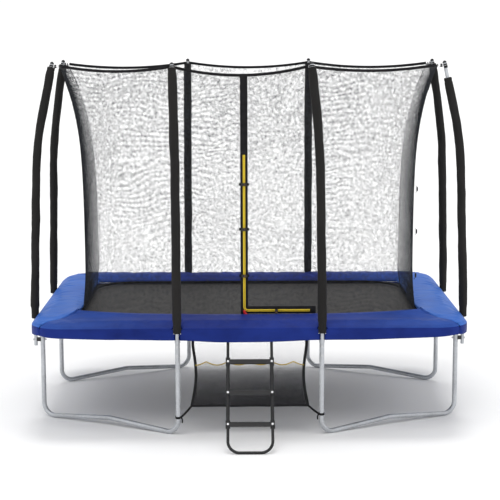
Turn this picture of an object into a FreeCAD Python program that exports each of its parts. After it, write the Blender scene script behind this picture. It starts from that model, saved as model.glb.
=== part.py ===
import FreeCAD, Part
import math
import os

# Rectangular garden trampoline with a safety net, in millimetres.
# The origin is on the ground under the middle of the steel frame. +Z is up,
# +X runs along the length, and -Y is the front, where the door and ladder are.

Vector = FreeCAD.Vector
UP = Vector(0, 0, 1)

# --- Top rail -------------------------------------------------------------
RAIL_HALF_LENGTH = 1503.0      # centreline, along X
RAIL_HALF_WIDTH = 1046.0       # centreline, along Y
RAIL_HEIGHT = 741.0            # centreline above the ground
RAIL_RADIUS = 21.0
RAIL_WALL = 1.5
RAIL_CORNER_RADIUS = 220.0
RAIL_JOINT = 400.0             # distance of the tube joints from the middle of a side
SPIGOT_LENGTH = 60.0
SPIGOT_CLEARANCE = 0.1
SOCKET_RADIUS = 19.5
SOCKET_BORE = 17.4
SOCKET_BOTTOM = 655.0

# --- Legs -----------------------------------------------------------------
UPRIGHT_X = 499.0              # uprights on the long sides
UPRIGHT_Y = 519.0              # uprights on the short sides
LEG_RADIUS = 17.0
LEG_WALL = 1.5
LEG_TOP = 716.0
LEG_BEND = 90.0
LEG_KINK_BEND = 150.0
LEG_RISE_ANGLE = math.radians(4.7)

# --- Enclosure poles ------------------------------------------------------
POLE_OFFSET = 50.0             # outwards from the rail centreline
POLE_RADIUS = 12.7
POLE_WALL = 1.2
POLE_BOTTOM = 530.0
POLE_SPLIT = 1500.0            # lower tube ends here
POLE_SPIGOT = 80.0
POLE_TILT_HEIGHT = 862.0       # the pole starts to lean inwards here
POLE_TILT_RADIUS = 3000.0
POLE_TILT = math.radians(2.0)
POLE_BEND_START = 1770.0
POLE_BEND_RADIUS = 2500.0
POLE_BEND_ANGLE = math.radians(12.0)          # slope of the top, away from upright
POLE_TOP_RUN = 366.0           # straight tube above the bend
SLEEVE_RADIUS = 28.0
SLEEVE_BORE = 13.0
SLEEVE_BOTTOM = 735.0
CLAMP_HEIGHTS = (575.0, 640.0)
CLAMP_HEIGHT = 26.0
CLAMP_WIDTH = 24.0
BOLT_RADIUS = 4.0
BOLT_CLEARANCE = 0.15
BOLT_HEAD = 4.0
NUT_HEIGHT = 6.0

# --- Jumping mat and springs ----------------------------------------------
MAT_HALF_LENGTH = 1280.0
MAT_HALF_WIDTH = 830.0
MAT_CORNER_RADIUS = 150.0
MAT_TOP = 753.0
MAT_THICKNESS = 4.0
SPRINGS_LONG_SIDE = 20
SPRINGS_SHORT_SIDE = 13
SPRING_RADIUS = 11.0
RING_RADIUS = 14.0
RING_WIRE = 2.5
HOOK_GAP = 5.0

# --- Edge pads ------------------------------------------------------------
PAD_OVERHANG_SIDES = 27.0      # outwards from the rail centreline, along X
PAD_OVERHANG_FRONT = 52.0      # outwards from the rail centreline, along Y
PAD_INNER_X = 1224.0
PAD_INNER_Y = 815.0
PAD_BOTTOM = 772.0
PAD_THICKNESS = 22.0
PAD_CORNER_RADIUS = 240.0
PAD_INNER_CORNER_RADIUS = 60.0
PAD_EDGE_ROUND = 18.0
SKIRT_BOTTOM = 680.0
SKIRT_THICKNESS = 5.0
SLEEVE_NOTCH_RADIUS = 29.0
POLE_NOTCH_RADIUS = 14.5
PAD_MITRE_GAP = 1.0

# --- Safety net -----------------------------------------------------------
NET_FOOT_X = 1206.0
NET_FOOT_Y = 800.0
NET_FOOT_HEIGHT = 757.0
NET_FOOT_CORNER = 300.0
NET_THICKNESS = 2.0
NET_TOP_DROP = 38.0            # net corner below the pole tip
NET_TOP_INSET = 50.0           # net corner inwards from the pole tip
NET_LEVELS = (0.0, 0.67, 0.79, 0.9, 1.0)     # shares of the net's height
NET_FLARE = (0.0, 0.04, 0.24, 0.6, 1.0)       # shares of its spread towards the poles
HEM_HEIGHT = 24.0
HEM_THICKNESS = 5.0
STRAP_RADIUS = 4.0

# --- Door in the front wall -----------------------------------------------
DOOR_X = -35.0
BAND_WIDTH = 50.0
BAND_THICKNESS = 2.0
BAND_BOTTOM = 800.0
BAND_RIGHT = 470.0
ZIP_WIDTH = 22.0
ZIP_THICKNESS = 3.0
ZIP_TOP = 1940.0
ZIP_BOTTOM = 822.0
ZIP_RIGHT = 430.0
PULL_ANGLE = 20.0              # the pull tab hangs slightly to the right, in degrees
BUCKLE_HEIGHTS = (1070.0, 1400.0, 1715.0)
BUCKLE_ON_SILL_X = 190.0
SIDE_BUCKLE_Y = -400.0
SIDE_BUCKLE_HEIGHTS = (1015.0, 1340.0, 1650.0)

# --- Ladder ---------------------------------------------------------------
LADDER_HALF_WIDTH = 150.0
LADDER_TUBE = 10.0
LADDER_MIDDLE_TUBE = 12.5
LADDER_WALL = 1.2
LADDER_FOOT_Y = -1523.0
LADDER_BEND_HEIGHT = 655.0
LADDER_BEND_RADIUS = 60.0
LADDER_CORNER_RADIUS = 80.0
HOOK_INNER = 21.6
HOOK_OUTER = 28.6
HOOK_WIDTH = 24.0
RUNG_HEIGHTS = (172.0, 357.0, 543.0)
RUNG_DEPTH = 32.0
RUNG_THICKNESS = 14.0
RUNG_TAB = 4.0
TAB_WIDTH = 31.0
TAB_LENGTH = 44.0
TAB_REACH = 8.0                # how far a tab runs into its tube
TAB_THICKNESS = 6.0

# --- Net panel under the frame, behind the ladder --------------------------
UNDER_HALF_WIDTH = 405.0
UNDER_TOP = 706.0
UNDER_BOTTOM = 200.0
UNDER_THICKNESS = 2.0
UNDER_TIE_HEIGHT = 150.0

# Each pole: name, upright position, direction inwards, and the turn of its bent
# top away from straight inwards, in degrees anticlockwise seen from above.
POLES = (
    ("front_left", -UPRIGHT_X, -RAIL_HALF_WIDTH, (0, 1), 8.5),
    ("front_right", UPRIGHT_X, -RAIL_HALF_WIDTH, (0, 1), 26.0),
    ("back_left", -UPRIGHT_X, RAIL_HALF_WIDTH, (0, -1), 5.5),
    ("back_right", UPRIGHT_X, RAIL_HALF_WIDTH, (0, -1), -2.0),
    ("left_front", -RAIL_HALF_LENGTH, -UPRIGHT_Y, (1, 0), 6.0),
    ("left_back", -RAIL_HALF_LENGTH, UPRIGHT_Y, (1, 0), -38.0),
    ("right_front", RAIL_HALF_LENGTH, -UPRIGHT_Y, (-1, 0), -4.0),
    ("right_back", RAIL_HALF_LENGTH, UPRIGHT_Y, (-1, 0), 38.0),
)
CORNERS = (
    ("front_left", -1, -1),
    ("front_right", 1, -1),
    ("back_left", -1, 1),
    ("back_right", 1, 1),
)


# --- General shapes --------------------------------------------------------
def bent_path(points, bend_radii):
    """A wire of straight runs through the points, with an arc at each inner point."""
    edges = []
    start = points[0]
    for before, corner, after, radius in zip(points, points[1:], points[2:], bend_radii):
        back = (before - corner).normalize()
        ahead = (after - corner).normalize()
        half_angle = back.getAngle(ahead) / 2
        setback = radius / math.tan(half_angle)
        bisector = (back + ahead).normalize()
        centre = corner + bisector * (radius / math.sin(half_angle))
        arc_start = corner + back * setback
        arc_end = corner + ahead * setback
        arc_middle = centre - bisector * radius
        edges.append(Part.LineSegment(start, arc_start).toShape())
        edges.append(Part.Arc(arc_start, arc_middle, arc_end).toShape())
        start = arc_end
    edges.append(Part.LineSegment(start, points[-1]).toShape())
    return Part.Wire(edges)


def rod(path, start, direction, radius):
    """A round bar along a wire."""
    section = Part.Wire([Part.makeCircle(radius, start, direction)])
    return path.makePipeShell([section], True, True)


def bent_tube(points, bend_radii, radius, wall):
    """A hollow tube along a bent path."""
    path = bent_path(points, bend_radii)
    direction = points[1] - points[0]
    outer = rod(path, points[0], direction, radius)
    inner = rod(path, points[0], direction, radius - wall)
    return outer.cut(inner)


def straight_tube(start, end, radius, bore):
    """A hollow straight tube from start to end."""
    length = (end - start).Length
    outer = Part.makeCylinder(radius, length, start, end - start)
    return outer.cut(Part.makeCylinder(bore, length, start, end - start))


def plate(corners, thickness_vector):
    """A flat plate: a closed outline pushed along a vector."""
    outline = Part.makePolygon(list(corners) + [corners[0]])
    return Part.Face(outline).extrude(thickness_vector)


def block(centre, size):
    """An upright box about its centre."""
    low = centre - Vector(*size) * 0.5
    return Part.makeBox(size[0], size[1], size[2], low)


def rounded_slab(half_x, half_y, corner_radius, bottom, height):
    """A rectangle with rounded corners, centred on the frame."""
    slab = Part.makeBox(2 * half_x, 2 * half_y, height, Vector(-half_x, -half_y, bottom))
    upright_edges = [edge for edge in slab.Edges if abs(edge.tangentAt(edge.FirstParameter).z) > 0.9]
    return slab.makeFillet(corner_radius, upright_edges)


def save(name, shape):
    """Write one named part."""
    shape.exportStep(os.path.join("parts", name + ".step"))


# --- Places shared by several parts ----------------------------------------
def pole_foot(x, y, inwards):
    """The point on the ground under a pole."""
    return Vector(x - inwards[0] * POLE_OFFSET, y - inwards[1] * POLE_OFFSET, 0)


def lean_direction(inwards, turn):
    """Where the bent top of a pole points, seen from above."""
    angle = math.radians(turn)
    x = inwards[0] * math.cos(angle) - inwards[1] * math.sin(angle)
    y = inwards[0] * math.sin(angle) + inwards[1] * math.cos(angle)
    return Vector(x, y, 0)


def pole_at(foot, lean, height):
    """A point on a pole's straight leaning run, which starts at the tilt corner."""
    knee = foot + UP * POLE_TILT_HEIGHT
    return knee + (lean * math.tan(POLE_TILT) + UP) * (height - POLE_TILT_HEIGHT)


def pole_axis(foot, lean):
    """The corner of a pole's upper bend, its tip, and the slope of its top."""
    setback = POLE_BEND_RADIUS * math.tan((POLE_BEND_ANGLE - POLE_TILT) / 2)
    corner = pole_at(foot, lean, POLE_BEND_START + setback * math.cos(POLE_TILT))
    slope = lean * math.sin(POLE_BEND_ANGLE) + UP * math.cos(POLE_BEND_ANGLE)
    return corner, corner + slope * (setback + POLE_TOP_RUN), slope


def net_corner(foot, lean):
    """The point where the net is strapped to a pole tip."""
    tip = pole_axis(foot, lean)[1]
    return tip + lean * NET_TOP_INSET - UP * NET_TOP_DROP


# --- Steel frame -----------------------------------------------------------
def make_rails():
    """Straight tubes in the middle of each side, with spigots at both ends."""
    spigot_radius = RAIL_RADIUS - RAIL_WALL - SPIGOT_CLEARANCE
    sides = (
        ("rail_front", Vector(1, 0, 0), Vector(0, -RAIL_HALF_WIDTH, RAIL_HEIGHT)),
        ("rail_back", Vector(1, 0, 0), Vector(0, RAIL_HALF_WIDTH, RAIL_HEIGHT)),
        ("rail_left", Vector(0, 1, 0), Vector(-RAIL_HALF_LENGTH, 0, RAIL_HEIGHT)),
        ("rail_right", Vector(0, 1, 0), Vector(RAIL_HALF_LENGTH, 0, RAIL_HEIGHT)),
    )
    for name, along, middle in sides:
        half = along * (RAIL_JOINT - 0.5)
        reach = along * (RAIL_JOINT + SPIGOT_LENGTH)
        body = Part.makeCylinder(RAIL_RADIUS, 2 * half.Length, middle - half, along)
        spigots = Part.makeCylinder(spigot_radius, 2 * reach.Length, middle - reach, along)
        bore = Part.makeCylinder(spigot_radius - RAIL_WALL, 2 * reach.Length, middle - reach, along)
        save(name, body.fuse(spigots).cut(bore).removeSplitter())


def make_corner_rails():
    """Bent corner tubes, each with two welded leg sockets."""
    for name, sign_x, sign_y in CORNERS:
        side_x = sign_x * RAIL_HALF_LENGTH
        side_y = sign_y * RAIL_HALF_WIDTH
        points = [
            Vector(sign_x * RAIL_JOINT, side_y, RAIL_HEIGHT),
            Vector(side_x, side_y, RAIL_HEIGHT),
            Vector(side_x, sign_y * RAIL_JOINT, RAIL_HEIGHT),
        ]
        path = bent_path(points, [RAIL_CORNER_RADIUS])
        along = points[1] - points[0]
        rail = rod(path, points[0], along, RAIL_RADIUS)
        hollow = rod(path, points[0], along, RAIL_RADIUS - RAIL_WALL)
        socket_feet = (
            Vector(sign_x * UPRIGHT_X, side_y, SOCKET_BOTTOM),
            Vector(side_x, sign_y * UPRIGHT_Y, SOCKET_BOTTOM),
        )
        for foot in socket_feet:
            rail = rail.fuse(Part.makeCylinder(SOCKET_RADIUS, RAIL_HEIGHT - SOCKET_BOTTOM, foot, UP))
        for foot in socket_feet:
            rail = rail.cut(Part.makeCylinder(SOCKET_BORE, LEG_TOP + 1 - SOCKET_BOTTOM, foot, UP))
        save("corner_rail_" + name, rail.cut(hollow))


def leg_points(sign_x, sign_y):
    """The corner points of one leg: down, along the ground over a raised middle, and up."""
    first = Vector(sign_x * UPRIGHT_X, sign_y * RAIL_HALF_WIDTH, 0)
    last = Vector(sign_x * RAIL_HALF_LENGTH, sign_y * UPRIGHT_Y, 0)
    span = (last - first).Length
    drop = 1 - 1 / math.cos(LEG_RISE_ANGLE) - math.tan(LEG_RISE_ANGLE)
    corner_height = LEG_RADIUS + LEG_BEND * drop
    middle_height = corner_height + span / 2 * math.tan(LEG_RISE_ANGLE)
    return [
        first + UP * LEG_TOP,
        first + UP * corner_height,
        (first + last) * 0.5 + UP * middle_height,
        last + UP * corner_height,
        last + UP * LEG_TOP,
    ]


def bolt_holes(shape, x, y, inwards):
    """Drill the pole clamp holes through a shape beside one upright."""
    axis = Vector(inwards[0], inwards[1], 0)
    for height in CLAMP_HEIGHTS:
        start = Vector(x, y, height) - axis * 90
        shape = shape.cut(Part.makeCylinder(BOLT_RADIUS + BOLT_CLEARANCE, 180, start, axis))
    return shape


def make_legs():
    """Four bent legs, each across one corner of the frame."""
    for name, sign_x, sign_y in CORNERS:
        points = leg_points(sign_x, sign_y)
        leg = bent_tube(points, [LEG_BEND, LEG_KINK_BEND, LEG_BEND], LEG_RADIUS, LEG_WALL)
        leg = bolt_holes(leg, sign_x * UPRIGHT_X, sign_y * RAIL_HALF_WIDTH, (0, -sign_y))
        leg = bolt_holes(leg, sign_x * RAIL_HALF_LENGTH, sign_y * UPRIGHT_Y, (-sign_x, 0))
        save("leg_" + name, leg)


# --- Enclosure poles, sleeves and clamps -------------------------------------
def make_poles():
    """Lower tubes with a spigot, bent upper tubes and foam sleeves."""
    spigot_radius = POLE_RADIUS - POLE_WALL - SPIGOT_CLEARANCE
    bore = spigot_radius - POLE_WALL
    caps = []
    lower_tubes = []
    for name, x, y, inwards, turn in POLES:
        foot = pole_foot(x, y, inwards)
        lean = lean_direction(inwards, turn)
        knee = foot + UP * POLE_TILT_HEIGHT
        corner, tip, slope = pole_axis(foot, lean)

        low = foot + UP * POLE_BOTTOM
        split_path = bent_path([low, knee, pole_at(foot, lean, POLE_SPLIT - 0.5)], [POLE_TILT_RADIUS])
        spigot_end = pole_at(foot, lean, POLE_SPLIT + POLE_SPIGOT)
        spigot_path = bent_path([low, knee, spigot_end], [POLE_TILT_RADIUS])
        lower = rod(split_path, low, UP, POLE_RADIUS)
        lower = lower.fuse(rod(spigot_path, low, UP, spigot_radius))
        lower = lower.cut(rod(spigot_path, low, UP, bore))
        lower_tubes.append(bolt_holes(lower.removeSplitter(), x, y, inwards))

        points = [pole_at(foot, lean, POLE_SPLIT), corner, tip]
        save("pole_" + name, bent_tube(points, [POLE_BEND_RADIUS], POLE_RADIUS, POLE_WALL))

        sleeve_gap = 110.0 if name == "right_front" else 62.0
        sleeve = bent_tube(
            [foot + UP * SLEEVE_BOTTOM, knee, corner, tip - slope * sleeve_gap],
            [POLE_TILT_RADIUS, POLE_BEND_RADIUS], SLEEVE_RADIUS, SLEEVE_RADIUS - SLEEVE_BORE)
        save("foam_sleeve_" + name, sleeve)
        caps.append(pole_cap(tip, slope))
    save("pole_lower_tubes", Part.makeCompound(lower_tubes))
    save("pole_caps", Part.makeCompound(caps))


def pole_cap(tip, slope):
    """A plastic plug with a domed head, and a collar for the net strap."""
    plug_radius = POLE_RADIUS - POLE_WALL - SPIGOT_CLEARANCE
    plug = Part.makeCylinder(plug_radius, 25, tip - slope * 25, slope)
    head = Part.makeCylinder(POLE_RADIUS + 1.5, 8, tip + slope * 0.2, slope)
    neck = Part.makeCylinder(plug_radius, 1, tip - slope * 0.5, slope)
    dome = Part.makeSphere(POLE_RADIUS, tip + slope * 4)
    below = Part.makeCylinder(40, 40, tip - slope * 35.8, slope)
    return plug.fuse([neck, head, dome.cut(below)]).removeSplitter()


def make_clamps():
    """Saddle blocks between each upright and its pole, and their through bolts."""
    blocks = []
    bolts = []
    for _, x, y, inwards, _ in POLES:
        axis = Vector(inwards[0], inwards[1], 0)
        foot = pole_foot(x, y, inwards)
        upright = Vector(x, y, 0)
        gap_middle = (foot + axis * (POLE_RADIUS - 4) + upright - axis * (LEG_RADIUS - 4)) * 0.5
        reach = (upright - foot).Length - POLE_RADIUS - LEG_RADIUS + 8
        size = (CLAMP_WIDTH, reach) if inwards[0] == 0 else (reach, CLAMP_WIDTH)
        for height in CLAMP_HEIGHTS:
            saddle = block(gap_middle + UP * height, (size[0], size[1], CLAMP_HEIGHT))
            for centre, radius in ((foot, POLE_RADIUS), (upright, LEG_RADIUS)):
                low = centre + UP * (height - 40)
                saddle = saddle.cut(Part.makeCylinder(radius + SPIGOT_CLEARANCE, 80, low, UP))
            blocks.append(bolt_holes(saddle, x, y, inwards))
            bolts.append(clamp_bolt(foot + UP * height, upright + UP * height, axis))
    save("pole_clamps", Part.makeCompound(blocks))
    save("clamp_bolts", Part.makeCompound(bolts))


def clamp_bolt(pole_point, upright_point, axis):
    """A bolt through pole, saddle and upright, with a domed head and a nut."""
    head_start = pole_point - axis * (POLE_RADIUS + 6)
    length = (upright_point - pole_point).Length + POLE_RADIUS + LEG_RADIUS + 18
    shank = Part.makeCylinder(BOLT_RADIUS, length, head_start, axis)
    head = Part.makeCylinder(8, 5, head_start, axis)
    nut_start = upright_point + axis * (LEG_RADIUS + 1)
    side = Vector(-axis.y, axis.x, 0)
    nut_radius = 7.5
    corners = []
    for step in range(6):
        angle = math.radians(60 * step)
        spoke = side * math.cos(angle) + UP * math.sin(angle)
        corners.append(nut_start + spoke * nut_radius)
    nut = plate(corners, axis * 6.5)
    return shank.fuse([head, nut]).removeSplitter()


# --- Jumping mat -------------------------------------------------------------
def edge_stations():
    """Every spring: its point on the mat's edge, and the direction outwards."""
    stations = []
    straight_x = MAT_HALF_LENGTH - MAT_CORNER_RADIUS
    straight_y = MAT_HALF_WIDTH - MAT_CORNER_RADIUS
    for step in range(SPRINGS_LONG_SIDE):
        x = straight_x * (2 * step / (SPRINGS_LONG_SIDE - 1) - 1)
        for sign in (-1, 1):
            stations.append((Vector(x, sign * MAT_HALF_WIDTH, 0), Vector(0, sign, 0)))
    for step in range(SPRINGS_SHORT_SIDE):
        y = straight_y * (2 * step / (SPRINGS_SHORT_SIDE - 1) - 1)
        for sign in (-1, 1):
            stations.append((Vector(sign * MAT_HALF_LENGTH, y, 0), Vector(sign, 0, 0)))
    return stations


def make_mat():
    """The woven mat, the ring at each spring, and the springs."""
    bottom = MAT_TOP - MAT_THICKNESS
    save("jump_mat", rounded_slab(
        MAT_HALF_LENGTH, MAT_HALF_WIDTH, MAT_CORNER_RADIUS, bottom, MAT_THICKNESS))
    rings = []
    springs = []
    level = UP * (MAT_TOP - MAT_THICKNESS / 2)
    ring_reach = 2 * (RING_RADIUS + RING_WIRE)
    for edge_point, outwards in edge_stations():
        start = edge_point + level
        ring_centre = start + outwards * (1 + RING_RADIUS + RING_WIRE)
        rings.append(Part.makeTorus(RING_RADIUS, RING_WIRE, ring_centre, UP))
        side = RAIL_HALF_LENGTH if outwards.x else RAIL_HALF_WIDTH
        edge = MAT_HALF_LENGTH if outwards.x else MAT_HALF_WIDTH
        rise = UP * (RAIL_HEIGHT - level.z)
        spring_start = start + outwards * (ring_reach + HOOK_GAP)
        spring_end = start + outwards * (side - edge - RAIL_RADIUS - HOOK_GAP) + rise
        run = spring_end - spring_start
        springs.append(Part.makeCylinder(SPRING_RADIUS, run.Length, spring_start, run))
    save("mat_rings", Part.makeCompound(rings))
    save("springs", Part.makeCompound(springs))


# --- Edge pads ---------------------------------------------------------------
def make_pads():
    """Four mitred pads over the springs, with a skirt hanging outside the rail."""
    outer_x = RAIL_HALF_LENGTH + PAD_OVERHANG_SIDES
    outer_y = RAIL_HALF_WIDTH + PAD_OVERHANG_FRONT
    top = PAD_BOTTOM + PAD_THICKNESS
    slab = rounded_slab(outer_x, outer_y, PAD_CORNER_RADIUS, PAD_BOTTOM, PAD_THICKNESS)
    top_edges = [edge for edge in slab.Edges if abs(edge.CenterOfMass.z - top) < 0.01]
    slab = slab.makeFillet(PAD_EDGE_ROUND, top_edges)
    window = rounded_slab(
        PAD_INNER_X, PAD_INNER_Y, PAD_INNER_CORNER_RADIUS, PAD_BOTTOM - 1, PAD_THICKNESS + 2)
    slab = slab.cut(window)
    skirt_height = PAD_BOTTOM - SKIRT_BOTTOM
    skirt = rounded_slab(outer_x, outer_y, PAD_CORNER_RADIUS, SKIRT_BOTTOM, skirt_height)
    skirt = skirt.cut(rounded_slab(
        outer_x - SKIRT_THICKNESS, outer_y - SKIRT_THICKNESS,
        PAD_CORNER_RADIUS - SKIRT_THICKNESS, SKIRT_BOTTOM - 1, skirt_height + 2))
    skirt_envelope = rounded_slab(
        outer_x, outer_y, PAD_CORNER_RADIUS, SKIRT_BOTTOM, skirt_height)
    for name, x, y, inwards, _ in POLES:
        foot = pole_foot(x, y, inwards)
        if inwards[0] == 0:
            low = foot + UP * (SKIRT_BOTTOM - 5)
            tuck = Part.makeCylinder(
                POLE_NOTCH_RADIUS + SKIRT_THICKNESS, skirt_height, foot + UP * SKIRT_BOTTOM, UP)
            notch = Part.makeCylinder(POLE_NOTCH_RADIUS, top - SKIRT_BOTTOM + 10, low, UP)
            skirt = skirt.fuse(tuck.common(skirt_envelope)).cut(notch)
        wide = Part.makeCylinder(SLEEVE_NOTCH_RADIUS, 200, foot + UP * (SLEEVE_BOTTOM - 1), UP)
        skirt = skirt.cut(wide)
        slab = slab.cut(wide)
    reach = 500.0
    for side, sign_x, sign_y in (("front", 0, -1), ("back", 0, 1), ("left", -1, 0), ("right", 1, 0)):
        sector = pad_sector(sign_x, sign_y, reach)
        top_part = slab.common(sector)
        skirt_part = skirt.common(sector)
        if side == "front":
            save("pad_front", top_part)
            lowered = Part.makeBox(4000, 4000, PAD_BOTTOM - 0.5, Vector(-2000, -2000, 0))
            save("pad_front_skirt", skirt_part.common(lowered))
        else:
            save("pad_" + side, top_part.fuse(skirt_part).removeSplitter())


def pad_sector(sign_x, sign_y, reach):
    """The part of the plan that belongs to one side, cut at 45 degrees at its ends."""
    x = PAD_INNER_X
    y = PAD_INNER_Y
    gap = PAD_MITRE_GAP
    if sign_y:
        plan = ((-x + gap, y), (x - gap, y), (x - gap + reach, y + reach), (-x + gap - reach, y + reach))
        corners = [Vector(px, sign_y * py, 0) for px, py in plan]
    else:
        plan = ((x, -y + gap), (x, y - gap), (x + reach, y - gap + reach), (x + reach, -y + gap - reach))
        corners = [Vector(sign_x * px, py, 0) for px, py in plan]
    return plate(corners, UP * 1000)


# --- Safety net --------------------------------------------------------------
def net_top_corners():
    """The eight strapped corners of the net's top edge, by pole name."""
    corners = {}
    for name, x, y, inwards, turn in POLES:
        corners[name] = net_corner(pole_foot(x, y, inwards), lean_direction(inwards, turn))
    return corners


def net_stations():
    """Matching bottom and top points around the net, panel by panel."""
    tops = net_top_corners()
    x, y, r = NET_FOOT_X, NET_FOOT_Y, NET_FOOT_CORNER
    join_x, join_y = UPRIGHT_X, UPRIGHT_Y - 80
    panels = []
    for name, sign_x, sign_y in CORNERS:
        long_name = name
        short_name = "_".join(reversed(name.split("_")))
        long_top, short_top = tops[long_name], tops[short_name]
        feet = ((join_x, y), (x - r, y), (x - 0.3 * r, y - 0.3 * r), (x, y - r), (x, join_y))
        shares = (0.0, 0.45, 0.55, 0.65, 1.0)
        bottoms = [Vector(sign_x * px, sign_y * py, NET_FOOT_HEIGHT) for px, py in feet]
        uppers = [long_top + (short_top - long_top) * share for share in shares]
        panels.append((bottoms, uppers))
    for side, left, right in (
        (-1, "front_left", "front_right"),
        (1, "back_left", "back_right"),
    ):
        feet = [Vector(-join_x, side * y, NET_FOOT_HEIGHT), Vector(join_x, side * y, NET_FOOT_HEIGHT)]
        panels.append((feet, [tops[left], tops[right]]))
    for side, near, far in (
        (-1, "left_front", "left_back"),
        (1, "right_front", "right_back"),
    ):
        feet = [Vector(side * x, -join_y, NET_FOOT_HEIGHT), Vector(side * x, join_y, NET_FOOT_HEIGHT)]
        panels.append((feet, [tops[near], tops[far]]))
    return panels


def net_point(bottom, upper, level, flare):
    """A point on the net: upright in the lower part, flaring towards the pole tips."""
    height = bottom.z + (upper.z - bottom.z) * level
    x = bottom.x + (upper.x - bottom.x) * flare
    y = bottom.y + (upper.y - bottom.y) * flare
    return Vector(x, y, height)


def net_strip(bottoms, uppers):
    """One upright strip of net between two neighbouring stations."""
    sections = []
    for level, flare in zip(NET_LEVELS, NET_FLARE):
        first = net_point(bottoms[0], uppers[0], level, flare)
        second = net_point(bottoms[1], uppers[1], level, flare)
        inwards = UP.cross(second - first).normalize()
        if inwards.dot(Vector(first.x + second.x, first.y + second.y, 0)) > 0:
            inwards = inwards * -1
        step = inwards * NET_THICKNESS
        sections.append(Part.makePolygon([first, second, second + step, first + step, first]))
    return Part.makeLoft(sections, True, True)


def make_net():
    """The net walls, the webbing hem round their top, and the straps to the poles."""
    strips = []
    hems = []
    for bottoms, uppers in net_stations():
        for index in range(len(bottoms) - 1):
            strips.append(net_strip(bottoms[index:index + 2], uppers[index:index + 2]))
        hems.append(hem_strip(uppers[0], uppers[-1]))
    save("safety_net", Part.makeCompound(strips))
    save("net_hem", Part.makeCompound(hems))
    straps = []
    for name, x, y, inwards, turn in POLES:
        foot = pole_foot(x, y, inwards)
        lean = lean_direction(inwards, turn)
        tip, slope = pole_axis(foot, lean)[1:]
        corner = net_corner(foot, lean)
        outwards = (tip - slope * 18 - corner).normalize()
        start = corner + outwards * 12
        end = tip - slope * 18 - outwards * (POLE_RADIUS + 2)
        straps.append(Part.makeCylinder(STRAP_RADIUS, (end - start).Length, start, end - start))
    save("net_straps", Part.makeCompound(straps))


def hem_strip(first, last):
    """A flat webbing strip along the net's top edge, clear of the strips beside it."""
    run = (last - first).normalize()
    start = first + run * 8 + UP * 1
    end = last - run * 8 + UP * 1
    outwards = run.cross(UP).normalize() * (HEM_THICKNESS / 2)
    corners = (start - outwards, end - outwards, end + outwards, start + outwards)
    return plate(corners, UP * HEM_HEIGHT)


# --- Door --------------------------------------------------------------------
def flare_at(height, top):
    """How far the net has flared at one height, from 0 at its foot to 1 at its top."""
    level = (height - NET_FOOT_HEIGHT) / (top - NET_FOOT_HEIGHT)
    steps = zip(NET_LEVELS, NET_LEVELS[1:], NET_FLARE, NET_FLARE[1:])
    for low, high, low_flare, high_flare in steps:
        if level <= high:
            break
    return low_flare + (high_flare - low_flare) * (level - low) / (high - low)


def door_front(height):
    """The Y of the net's front face beside the door at one height."""
    tops = net_top_corners()
    upper = (tops["front_left"] + tops["front_right"]) * 0.5
    return -NET_FOOT_Y + (upper.y + NET_FOOT_Y) * flare_at(height, upper.z)


def side_face(height):
    """The X of the net's right face at one height."""
    upper = net_top_corners()["right_front"]
    return NET_FOOT_X + (upper.x - NET_FOOT_X) * flare_at(height, upper.z)


def upright_strip(x_low, x_high, bottom, top, gap, thickness):
    """A strip that follows the front of the net upwards."""
    upper = net_top_corners()["front_left"].z
    heights = [bottom]
    for level in NET_LEVELS:
        height = NET_FOOT_HEIGHT + (upper - NET_FOOT_HEIGHT) * level
        if bottom + 1 < height < top - 1:
            heights.append(height)
    heights.append(top)
    pieces = []
    for low, high in zip(heights, heights[1:]):
        near, far = door_front(low) - gap, door_front(high) - gap
        corners = (
            Vector(x_low, near, low), Vector(x_low, near - thickness, low),
            Vector(x_low, far - thickness, high), Vector(x_low, far, high),
        )
        pieces.append(plate(corners, Vector(x_high - x_low, 0, 0)))
    strip = pieces[0]
    for piece in pieces[1:]:
        strip = strip.fuse(piece)
    return strip


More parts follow.
